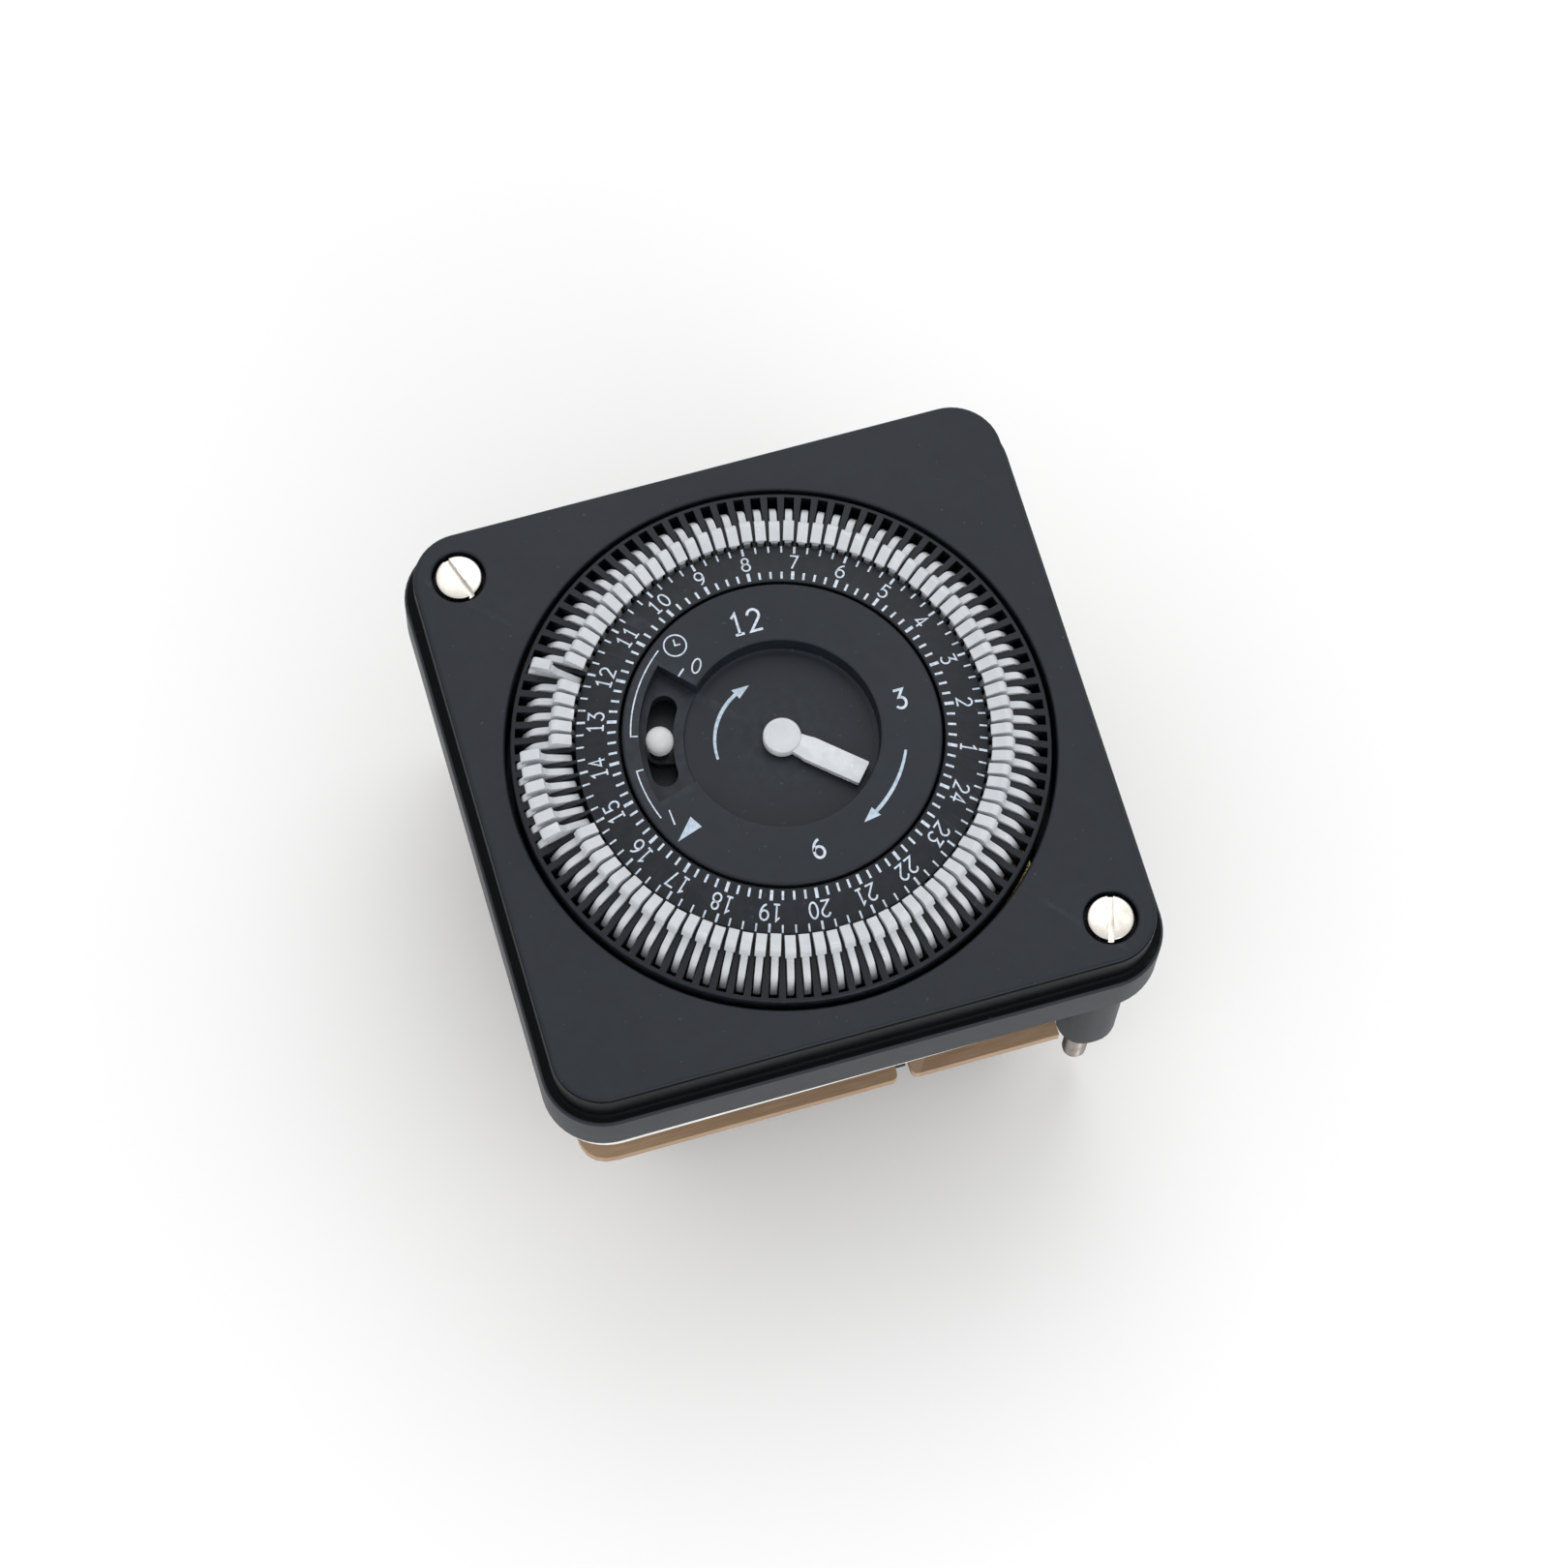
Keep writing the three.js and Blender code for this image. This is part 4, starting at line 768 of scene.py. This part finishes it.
def make_tracks(back):
    """Tinned tracks round the rim of the board's rear face, with a soldered pad on their ends."""
    width, rise = 0.9, 0.05
    paths = []
    for y, reach, side in ((-28.6, 22.0, -1), (-30.0, 18.0, 1), (28.6, 20.0, 1), (30.0, 24.0, -1)):
        paths.append([(-reach * side, y), (reach * 0.4 * side, y)])
    for x in (-28.6, -30.2, 28.7, 30.2):
        paths.append([(x, -18), (x, 12)])
    shapes = [ribbon(path, width, lambda x, y: back, rise) for path in paths]
    spots = [(22, -28.6), (8.8, -28.6), (-18, -30), (-28.6, -18), (-30.2, 12)]
    spots += [(28.7, -18), (30.2, 12), (20, 28.6), (-24, 30)]
    pad = [(1.15, back + 0.03), (1.15, back - 0.03), (0.75, back - 0.3), (0.3, back - 0.75)]
    shapes += [turned(pad, 20, spot) for spot in spots]
    place(draw("board_tracks", *shapes), "chassis", "board", finish=TIN)


def socket_outline(room=0.0):
    """The mouth of the plug socket, made wider by some room all round."""
    x, y = SOCKET_HALF
    return rectangle(-x - room, SOCKET_Y - y - room, x + room, SOCKET_Y + y + room)


def make_cover():
    low, high = levels("rear_cover")
    body = draw("rear_cover", prism(square(COVER_HALF, COVER_CORNER, 10, 2), low, high))
    soften(body, 0.8, 3)
    hollow = prism(square(COVER_HALF - WALL, COVER_CORNER - 1.6, 8, 2), low + WALL, high + 1)
    carve(body, draw("hollow", hollow))
    posts = []
    for i, at in enumerate(COVER_SCREWS):
        rod = prism(circle(COVER_POST_RADIUS, 32, at), low + 0.9, high - 0.05)
        posts.append(draw(f"post_{i}", rod))
    carve(body, *posts, operation="UNION")
    window = socket_outline(SOCKET_WALL + SOCKET_ROOM)
    tools = [draw("window", prism(window, low - 1, low + 4))]
    for row in range(4):
        y = 2.8 + VENT_PITCH * row
        vent = prism(round_bar((-8.2, y), (8.2, y), VENT_RADIUS), low - 1, low + 4)
        tools.append(draw(f"vent_{row}", vent))
    for i, at in enumerate(COVER_SCREWS):
        sink = [(2.4, low - 1), (2.4, low + 3), (1.25, low + 3), (1.25, high + 1)]
        tools.append(draw(f"sink_{i}", turned(sink, 32, at)))
    carve(body, *tools)
    soften(body, 0.15, 2, 50)
    place(body, "chassis", "dark_plastic", "rear_cover")


def make_connector():
    low, high = levels("connector_shroud")
    outer = rounded(socket_outline(SOCKET_WALL), 0.6)
    inner = rounded(socket_outline(), 0.3)
    body = draw("connector_shroud", prism(outer, low, high))
    socket = draw("socket", prism(inner, low - 1, low + 10.8))
    keys = []
    for i, x in enumerate((-4, 4)):
        keyway = rectangle(x - 0.9, -16.2, x + 0.9, -15.0)
        keys.append(draw(f"key_{i}", prism(keyway, low - 1, low + 8)))
    carve(body, socket, *keys)
    soften(body, 0.18, 2)
    place(body, "chassis", "natural_plastic", "connector_shroud")
    for i in range(1, 6):
        x, y = middle(f"connector_pin_{i}")
        bottom, top = levels(f"connector_pin_{i}")
        rings = []
        for half, z in ((0.12, bottom), (0.32, bottom + 0.7), (0.32, top)):
            rings.append(at_height(rectangle(x - half, y - half, x + half, y + half), z))
        pin = soften(draw(f"contact_pin_{i}", loft(rings)), 0.05, 2)
        place(pin, "chassis", "brass", f"connector_pin_{i}")


# ------------------------------------------------------------------ screws

SCREW_TURNS = (109.5, 74.0)
HEAD_RADIUS = 2.65
HEAD_HEIGHT = 2.2
SHANK_RADIUS = 1.25
THREAD_RADIUS = 1.49
THREAD_ROOT = 1.2
THREAD_PITCH = 0.5
THREAD_TOP_Z = -32.8
SCREW_TIP_Z = -50.8


def threaded_rod(at, low, high, root, crest, pitch, sides=36):
    """A rod whose skin follows a helical thread and runs out to a chamfered tip."""
    rows = int((high - low) / (pitch / 6))
    rings = []
    for row in range(rows + 1):
        z = low + (high - low) * row / rows
        limit = min(1.0, 0.55 + (z - low) / 1.2)
        run_out = min(1.0, (high - z) / pitch)
        ring = []
        for side in range(sides):
            phase = (z / pitch - side / sides) % 1.0
            rise = max(0.0, 1 - abs(2 * phase - 1) * 1.25)
            radius = min(root + (crest - root) * rise * run_out, crest * limit)
            x, y = polar(radius, 360 * side / sides)
            ring.append((at[0] + x, at[1] + y, z))
        rings.append(ring)
    return loft(rings)


def make_panel_screws():
    for i, at in enumerate(SCREWS, 1):
        name = f"panel_screw_{i}"
        profile = [(SHANK_RADIUS, -HEAD_HEIGHT - 0.4), (SHANK_RADIUS, -HEAD_HEIGHT)]
        profile += [(HEAD_RADIUS - 0.1, -HEAD_HEIGHT), (HEAD_RADIUS, -HEAD_HEIGHT + 0.15)]
        profile += quarter_round(HEAD_RADIUS, -0.08, 0.28, True)
        profile += [(HEAD_RADIUS * 0.6, -0.02), (HEAD_RADIUS * 0.25, 0.0)]
        head = draw(f"{name}_head", turned(profile, 72, at))
        slot = prism(rectangle(-4, -0.32, 4, 0.32), -0.95, 1)
        turn = Matrix.Rotation(math.radians(SCREW_TURNS[i - 1]), 4, "Z")
        carve(head, draw("driver_slot", moved(slot, Matrix.Translation((*at, 0)) @ turn)))
        soften(head, 0.06, 2, 50)
        place(head, f"screw_{i}", "nickel", name)
        neck = [(SHANK_RADIUS, THREAD_TOP_Z - 0.3), (SHANK_RADIUS, -HEAD_HEIGHT - 0.3)]
        shank = turned(neck, 40, at)
        thread = threaded_rod(
            at, SCREW_TIP_Z, THREAD_TOP_Z, THREAD_ROOT, THREAD_RADIUS, THREAD_PITCH
        )
        rod = draw(f"{name}_thread", shank, thread)
        place(rod, f"screw_{i}", "nickel", finish=SCREW_STEEL)


def make_fastener(node):
    """A small pan-head screw with a cross recess, driven from behind."""
    at = middle(node)
    low, high = levels(node)
    profile = [(0.9, low + 1.2), (2.15, low + 1.35), (2.2, low + 1.1), (2.05, low + 0.45)]
    profile += [(1.5, low + 0.1), (0.6, low)]
    head = draw(node + "_head", turned(profile, 40, at))
    cross = []
    for x, y in ((1.15, 0.22), (0.22, 1.15)):
        arm = prism(rectangle(-x, -y, x, y), low - 1, low + 0.8)
        cross.append(draw("cross_arm", moved(arm, Matrix.Translation((*at, 0)))))
    carve(head, *cross)
    soften(head, 0.04, 2, 50)
    place(head, "chassis", "steel", node)
    rod = threaded_rod(at, low + 1.1, high, 0.68, 0.94, 0.8, 20)
    place(draw(node + "_thread", rod), "chassis", "steel")


# ------------------------------------------------------------------ program dial

SEGMENTS = 96
PITCH = 360 / SEGMENTS
DIAL_TURN = 325.1
SCALE_INNER = 18.2
SCALE_TOP_Z = 4.0
SLOT_INNER = 23.1
SLOT_INNER_Z = 2.6
SLOT_OUTER = 29.9
UNDERCUT_RADIUS = 21.2
UNDERCUT_Z = 1.9
FIN_BOTTOM_Z = -2.1
DRUM_RADIUS = 20.0
WEB_TOP_Z = -1.4
WEB_BOTTOM_Z = -2.6
DIAL_HUB_RADIUS = 6.1
DIAL_HUB_BORE = 4.95
DIAL_HUB_END_Z = -6.3
DIAL_RADIUS = 30.4
DIAL_EDGE_Z = 0.5
DIAL_BOTTOM_Z = -5.0
SLOT_WIDTH = 1.15


def scale_z(x, y=0.0):
    """Height of the dial's scale ring above the bezel's face."""
    share = (math.hypot(x, y) - SCALE_INNER) / (SLOT_INNER - SCALE_INNER)
    return SCALE_TOP_Z + (SLOT_INNER_Z - SCALE_TOP_Z) * share


def make_dial():
    """A sloping scale ring with slots outside it. The levers' fans swing in under the scale."""
    slot_reach = SLOT_OUTER - 0.02
    profile = [(SCALE_INNER, WEB_TOP_Z), (SCALE_INNER, SCALE_TOP_Z - 0.2)]
    profile += [(SCALE_INNER + 0.06, SCALE_TOP_Z - 0.12)]
    profile += [(SCALE_INNER + 0.2, scale_z(SCALE_INNER + 0.2))]
    profile += [(SLOT_INNER, SLOT_INNER_Z), (DIAL_RADIUS - 0.3, DIAL_EDGE_Z + 0.08)]
    profile += [(DIAL_RADIUS - 0.1, DIAL_EDGE_Z - 0.02), (DIAL_RADIUS, DIAL_EDGE_Z - 0.22)]
    profile += [(DIAL_RADIUS, DIAL_BOTTOM_Z), (slot_reach, DIAL_BOTTOM_Z)]
    profile += [(slot_reach, FIN_BOTTOM_Z), (SLOT_INNER, FIN_BOTTOM_Z), (SLOT_INNER, UNDERCUT_Z)]
    profile += [(UNDERCUT_RADIUS, UNDERCUT_Z), (UNDERCUT_RADIUS, DIAL_BOTTOM_Z)]
    profile += [(DRUM_RADIUS, DIAL_BOTTOM_Z), (DRUM_RADIUS, WEB_BOTTOM_Z)]
    profile += [(DIAL_HUB_RADIUS, WEB_BOTTOM_Z), (DIAL_HUB_RADIUS, DIAL_HUB_END_Z)]
    profile += [(DIAL_HUB_BORE, DIAL_HUB_END_Z), (DIAL_HUB_BORE, WEB_TOP_Z)]
    piece = draw("program_dial", turned(profile, 2 * SEGMENTS, closed=True))
    cuts = []
    for segment in range(SEGMENTS):
        turn = Matrix.Rotation(math.radians(DIAL_TURN + (segment + 0.5) * PITCH), 4, "Z")
        half = SLOT_WIDTH / 2
        outline = rectangle(SLOT_INNER - 0.02, -half, SLOT_OUTER, half)
        cuts.append(moved(prism(outline, DIAL_BOTTOM_Z - 1, 4), turn))
    carve(piece, draw("slots", *cuts))
    place(piece, "dial", "dark_plastic", "program_dial", finish=DARK)


# ------------------------------------------------------------------ switching levers

PIVOT_RADIUS = 26.6
PIVOT_Z = -2.8
LEVER_IN = math.radians(-18)
LEVER_OUT = math.radians(14)
SET_SEGMENTS = (48, 54, 55, 56, 57, 58, 59)
# Outlines as corners: distance outwards from the hinge, height above it, and rounding.
BLADE = [
    (0.9, 6.2, 0),
    (-1.15, 6.2, 0),
    (-1.5, 5.3, 0.3),
    (-4.2, 3.6, 0.4),
    (-1.15, 0, 0.5),
    (-0.4, -3.3, 0.25),
    (0.4, -3.3, 0.25),
    (1.15, 0, 0.3),
    (3.02, 0.9, 0.3),
    (2.82, 2.2, 0.3),
    (2.46, 3.8, 0.7),
    (0.95, 4.95, 0.3),
    (0.9, 5.9, 0),
]
HEAD = [
    (-1.15, 6.02, 0.1),
    (1.25, 5.75, 0.1),
    (1.15, 6.7, 0.25),
    (0.7, 6.98, 0.2),
    (-1.15, 6.95, 0.2),
]
BLADE_HALF = 0.42
HEAD_HALF = 0.6
HOOP_RADIUS = 0.42


def lever_mesh():
    """One lever standing on its hinge: head up, fan and sensing tail below."""
    stand = Matrix.Rotation(math.radians(90), 4, "X")
    blade = draw("blade", moved(prism(rounded(BLADE, 0.2, 3), -BLADE_HALF, BLADE_HALF), stand))
    head = draw("head", moved(prism(rounded(HEAD, 0.2, 3), -HEAD_HALF, HEAD_HALF), stand))
    soften(blade, 0.14, 2, 50)
    soften(head, 0.2, 3, 50)
    carve(blade, head, operation="UNION")
    mesh = blade.data
    bpy.data.objects.remove(blade)
    return [tuple(v.co) for v in mesh.vertices], [tuple(p.vertices) for p in mesh.polygons]


def lever_at(shape, segment, tilt):
    """A lever on its hinge in one of the dial's slots."""
    turn = Matrix.Rotation(math.radians(DIAL_TURN + (segment + 0.5) * PITCH), 4, "Z")
    hinge = Matrix.Translation((PIVOT_RADIUS, 0, PIVOT_Z))
    return moved(shape, turn @ hinge @ Matrix.Rotation(tilt, 4, "Y"))


def make_levers():
    shape = lever_mesh()
    standing = []
    for segment in range(SEGMENTS):
        if segment in SET_SEGMENTS:
            piece = draw(f"lever_{segment}", lever_at(shape, segment, LEVER_OUT))
            place(piece, f"tripper_{segment}", "white_plastic", f"tripper_{segment}")
        else:
            sway = math.radians(0.9 * math.sin(segment * 2.3) + 0.5 * math.sin(segment * 5.1))
            standing.append(lever_at(shape, segment, LEVER_IN + sway))
    section = circle(HOOP_RADIUS, 10)
    hoop = turned([(PIVOT_RADIUS + x, PIVOT_Z + z) for x, z in section], SEGMENTS, closed=True)
    place(draw("levers_standing_in", *standing, hoop), "dial", "white_plastic", "tripper_ring")


# ------------------------------------------------------------------ printed marks

LETTER_WIDTH = 0.52


def arc(cx, cy, rx, ry, first, last, steps=14):
    """Points along part of an ellipse."""
    points = []
    for step in range(steps + 1):
        angle = math.radians(first + (last - first) * step / steps)
        points.append((cx + rx * math.cos(angle), cy + ry * math.sin(angle)))
    return points


def numeral(digit):
    """Strokes of a plain narrow numeral in a box one high and LETTER_WIDTH wide."""
    w = LETTER_WIDTH
    mid = w / 2
    if digit == "0":
        return [arc(mid, 0.5, mid, 0.5, 90, 450, 28)]
    if digit == "1":
        return [[(mid - 0.2, 0.80), (mid, 1.0), (mid, 0.0)], [(mid - 0.2, 0), (mid + 0.2, 0)]]
    if digit == "2":
        return [arc(mid, 0.72, mid, 0.28, 168, -28) + [(0, 0.0), (w, 0.0)]]
    if digit == "3":
        bowl = arc(mid - 0.02, 0.30, mid + 0.02, 0.30, 80, -150)
        return [[(0.03, 1.0), (w - 0.03, 1.0), (mid - 0.04, 0.60)] + bowl]
    if digit == "4":
        return [[(0.36, 0.0), (0.36, 1.0), (0.0, 0.30), (w + 0.03, 0.30)]]
    if digit == "5":
        bowl = arc(mid - 0.02, 0.31, mid + 0.02, 0.31, 118, -150)
        return [[(w - 0.04, 1.0), (0.08, 1.0), (0.05, 0.55)] + bowl]
    if digit == "6":
        return [arc(mid, 0.30, mid, 0.30, 90, 450, 24), arc(0.46, 0.34, 0.46, 0.64, 100, 176)]
    if digit == "7":
        return [[(0.0, 1.0), (w, 1.0), (0.17, 0.0)]]
    if digit == "8":
        return [arc(mid, 0.765, 0.21, 0.235, 90, 450, 22), arc(mid, 0.275, mid, 0.275, 90, 450, 24)]
    turned_over = numeral("6")
    return [[(w - x, 1 - y) for x, y in stroke] for stroke in turned_over]


def ribbon(path, width, surface, rise=0.03, sink=0.06):
    """A flat stroke of ink along a path, lying on a surface given as a height function."""
    closed = math.dist(path[0], path[-1]) < 1e-6
    points = [Vector(p) for p in (path[:-1] if closed else path)]
    count = len(points)
    left, right = [], []
    for i, point in enumerate(points):
        before = points[i - 1] if closed or i > 0 else point
        after = points[(i + 1) % count] if closed or i < count - 1 else point
        into = (point - before).normalized() if before != point else (after - point).normalized()
        out = (after - point).normalized() if after != point else into
        heading = (into + out).normalized()
        side = Vector((-heading.y, heading.x))
        spread = width / 2 / max(0.45, heading.dot(into))
        left.append(point + side * spread)
        right.append(point - side * spread)
    rings = []
    for a, b in zip(left, right):
        za, zb = surface(a.x, a.y), surface(b.x, b.y)
        rings.append([
            (a.x, a.y, za - sink),
            (b.x, b.y, zb - sink),
            (b.x, b.y, zb + rise),
            (a.x, a.y, za + rise),
        ])
    return loft(rings, closed)


def patch(outline, surface, rise=0.03, sink=0.06):
    """A flat filled shape of ink."""
    low = [(x, y, surface(x, y) - sink) for x, y in outline]
    high = [(x, y, surface(x, y) + rise) for x, y in outline]
    return loft([low, high])


def written(text, height, centre, up, weight, surface):
    """Numerals centred on a point, with their tops towards the angle `up`."""
    upward = Vector(polar(1, up))
    across = Vector((upward.y, -upward.x))
    advance = LETTER_WIDTH + 0.26
    start = -((len(text) - 1) * advance + LETTER_WIDTH) / 2
    shapes = []
    for i, digit in enumerate(text):
        for stroke in numeral(digit):
            path = []
            for x, y in stroke:
                spot = Vector(centre) + across * (start + i * advance + x) * height
                path.append(tuple(spot + upward * (y - 0.5) * height))
            shapes.append(ribbon(path, weight, surface))
    return shapes


def make_dial_marks():
    marks = []
    for quarter in range(SEGMENTS):
        angle = DIAL_TURN + quarter * PITCH
        hour = quarter % 4 == 0
        inner = (18.5, 19.6) if hour else (18.55, 19.5)
        outer = (22.05, 23.0) if hour else (22.15, 23.0)
        for reach, width in ((inner, 0.36 if hour else 0.26), (outer, 0.27 if hour else 0.2)):
            marks.append(ribbon([polar(reach[0], angle), polar(reach[1], angle)], width, scale_z))
    for hour in range(1, 25):
        angle = DIAL_TURN + 15 * hour
        marks += written(str(hour), 1.72, polar(20.85, angle), angle, 0.2, scale_z)
    place(draw("dial_marks", *marks), "dial", "dark_plastic", finish=INK)


# ------------------------------------------------------------------ centre plate

PLATE_RADIUS = 17.9
PLATE_TOP_Z = 4.12
PLATE_BOTTOM_Z = 0.32
DISH_RADIUS = 11.0
DISH_Z = 1.6
POCKET_RADIUS = 16.0
POCKET_Z = 1.9
GUIDE_RADIUS = 13.7
GUIDE_WIDTH = 3.0
POCKET_SPAN = (from_twelve(44.2), from_twelve(105.1))
GUIDE_SPAN = (from_twelve(58.5), from_twelve(91.8))
TUBE_RADIUS = 3.2
TUBE_BORE = 2.2
TUBE_END_Z = -13.3
ARBOR_HOLE = 1.3


def plate_z(x, y):
    return PLATE_TOP_Z


def dish_z(x, y):
    return DISH_Z


def make_centre_plate():
    profile = [(ARBOR_HOLE, PLATE_BOTTOM_Z), (PLATE_RADIUS, PLATE_BOTTOM_Z)]
    profile += quarter_round(PLATE_RADIUS, PLATE_TOP_Z, 0.35, True)
    profile += [(DISH_RADIUS + 0.3, PLATE_TOP_Z), (DISH_RADIUS + 0.09, PLATE_TOP_Z - 0.09)]
    profile += [(DISH_RADIUS, PLATE_TOP_Z - 0.3), (DISH_RADIUS, DISH_Z + 0.3)]
    profile += [(DISH_RADIUS - 0.09, DISH_Z + 0.09), (DISH_RADIUS - 0.3, DISH_Z)]
    profile += [(DISH_RADIUS - 0.6, DISH_Z), (2.0, DISH_Z), (ARBOR_HOLE, DISH_Z)]
    piece = draw("centre_plate", turned(profile, 144, closed=True))
    top = PLATE_BOTTOM_Z + 0.1
    wall = [(TUBE_RADIUS, TUBE_END_Z), (TUBE_RADIUS, top)]
    wall += [(TUBE_BORE, top), (TUBE_BORE, TUBE_END_Z)]
    carve(piece, draw("tube", turned(wall, 48, closed=True)), operation="UNION")
    pocket = sector(DISH_RADIUS - 0.7, POCKET_RADIUS, *POCKET_SPAN)
    guide = ring_slot(GUIDE_RADIUS, GUIDE_WIDTH, *GUIDE_SPAN)
    carve(
        piece,
        draw("pocket", prism(pocket, POCKET_Z, 6)),
        draw("guide", prism(guide, -1, 5)),
    )
    soften(piece, 0.12, 2, 50)
    place(piece, "chassis", "black_plastic", "centre_plate")


def curved_arrow(radius, first, last, surface, thick, head_width, head_length):
    """An arc that swells from its tail and ends in an arrowhead."""
    turn = math.copysign(1, last - first)
    head_start = last - turn * math.degrees(head_length / radius)
    steps = 26
    outer, inner = [], []
    for step in range(steps + 1):
        share = step / steps
        angle = from_twelve(first + (head_start - first) * share)
        half = thick / 2 * (0.7 + 0.3 * min(1.0, share * 1.6))
        outer.append(polar(radius + half, angle))
        inner.append(polar(radius - half, angle))
    base = from_twelve(head_start)
    tip = [polar(radius + head_width / 2, base)]
    tip += [polar(radius, from_twelve(last)), polar(radius - head_width / 2, base)]
    return [patch(outer + inner[::-1], surface), patch(tip, surface)]


def make_plate_marks():
    white = written("12", 2.55, polar(13.8, from_twelve(1)), 90, 0.3, plate_z)
    white += written("3", 2.2, polar(13.8, from_twelve(271)), 90, 0.3, plate_z)
    white += written("6", 2.2, polar(14.2, from_twelve(180)), 90, 0.3, plate_z)
    white += written("0", 1.75, polar(12.4, from_twelve(34.5)), 60, 0.17, plate_z)
    dash = [polar(13.35, from_twelve(44.2)), polar(13.35, from_twelve(39.5))]
    white.append(ribbon(dash, 0.2, plate_z))
    cx, cy = polar(15.8, from_twelve(33.2))
    white.append(ribbon(arc(cx, cy, 1.27, 1.27, 90, 450, 36), 0.17, plate_z))
    white.append(ribbon([(cx, cy + 0.75), (cx, cy), (cx + 0.62, cy)], 0.17, plate_z))
    upper = [polar(16.9, from_twelve(38.9 + 37 * i / 24)) for i in range(25)]
    white.append(ribbon(upper + [polar(16.1, from_twelve(75.9))], 0.15, plate_z))
    lower = [polar(16.87, from_twelve(90.1 + 20.9 * i / 16)) for i in range(17)]
    white.append(ribbon([polar(16.1, from_twelve(90.1))] + lower, 0.15, plate_z))
    dash = [polar(15.6, from_twelve(110.2)), polar(16.2, from_twelve(116.4))]
    white.append(ribbon(dash, 0.17, plate_z))
    place(draw("plate_marks", *white), "chassis", "white_plastic", finish=INK)
    pointer = [polar(17.35, from_twelve(122))]
    pointer += [polar(14.3, from_twelve(118.3)), polar(14.3, from_twelve(125.1))]
    blue = [patch(pointer, plate_z)]
    blue += curved_arrow(7.5, 92, 13, dish_z, 0.42, 1.35, 1.9)
    blue += curved_arrow(13.9, 245.7, 204.4, plate_z, 0.42, 1.35, 1.9)
    place(draw("plate_arrows", *blue), "chassis", "white_plastic", finish=PALE_INK)


# ------------------------------------------------------------------ hand and selector

HAND_TURN = 131.3
HAND_Z = 2.1
HAND_TOP_Z = 3.0
HAND_LENGTH = 10.1
HUB_RADIUS = 2.15
KNOB_RADIUS = 1.55


def make_minute_hand():
    edge = [(0, 1.0), (2.6, 1.25), (3.4, 1.4), (HAND_LENGTH, 1.4)]
    blade = rounded([(x, -y) for x, y in edge] + edge[::-1], 0.18)
    piece = draw("minute_hand", prism(blade, HAND_Z, HAND_TOP_Z))
    hub = [(HUB_RADIUS, HAND_Z), (HUB_RADIUS, HAND_TOP_Z + 0.05)]
    hub += [(HUB_RADIUS - 0.12, HAND_TOP_Z + 0.22), (HUB_RADIUS - 0.5, HAND_TOP_Z + 0.3)]
    carve(piece, draw("hub", turned(hub, 64)), operation="UNION")
    soften(piece, 0.16, 3, 50)
    piece.data.transform(Matrix.Rotation(math.radians(90 - HAND_TURN), 4, "Z"))
    place(piece, "minute", "white_plastic", "minute_hand")


def make_knob():
    at = middle("selector_knob")
    low, high = levels("selector_knob")
    profile = [(1.1, low), (KNOB_RADIUS - 0.05, low + 0.1), (KNOB_RADIUS, low + 0.4)]
    for step in range(8):
        dx, dz = polar(KNOB_RADIUS, 11 * step)
        profile.append((max(dx, 0.25), high - 1.6 + dz))
    piece = draw("selector_knob", turned(profile, 48, at))
    place(piece, "selector", "white_plastic", "selector_knob", finish=KNOB)


# ------------------------------------------------------------------ surroundings


def make_floor():
    """A wide pale sheet just under the part. Its sizes are in metres."""
    reach = 3.0
    finish = Finish("pale_floor")
    cloud = finish.noise(6, 2)
    finish.set("Base Color", finish.mix(cloud, (0.95, 0.95, 0.95), (0.97, 0.97, 0.97)))
    finish.set("Roughness", cloud * 0.1 + 0.8)
    top = -0.0005
    floor = draw("floor", prism(square(reach, 0.5, 6, 4), top - 0.02, top))
    floor.data.materials.append(finish.material)


def softbox(name, at, aim, size, power):
    light = bpy.data.objects.new(name, bpy.data.lights.new(name, "AREA"))
    light.data.shape = "SQUARE"
    light.data.size = size
    light.data.energy = power
    light.location = at
    light.rotation_mode = "QUATERNION"
    light.rotation_quaternion = (Vector(aim) - Vector(at)).to_track_quat("-Z", "Y")
    bpy.context.scene.collection.objects.link(light)


def set_light():
    world = bpy.data.worlds.new("studio")
    world.use_nodes = True
    sky = world.node_tree.nodes["Background"]
    sky.inputs["Color"].default_value = (1, 1, 1, 1)
    sky.inputs["Strength"].default_value = 0.92
    bpy.context.scene.world = world
    bpy.context.scene.view_settings.view_transform = "Standard"
    aim = (0, 0, FACE)
    softbox("key", (0.20, 0.50, 0.90), aim, 0.7, 2.0)
    softbox("front", (0.15, -0.8, 0.45), aim, 0.5, 1.2)


# ------------------------------------------------------------------ making it


def finish_carried_nodes():
    """Every CAD node that still shows gets the finish of its slot."""
    for part in frame["record"]["subparts"]:
        node = frame["nodes"][part["node"]]
        node.data.materials.clear()
        node.data.materials.append(SLOT_FINISH[part["material_slot"]])


set_camera()
finish_carried_nodes()
make_bezel()
make_gasket()
make_case()
make_board()
make_cover()
make_connector()
make_panel_screws()
for screw in ("case_screw_1", "case_screw_2", "cover_screw_1", "cover_screw_2"):
    make_fastener(screw)
make_dial()
make_dial_marks()
make_levers()
make_centre_plate()
make_plate_marks()
make_minute_hand()
make_knob()
make_floor()
set_light()
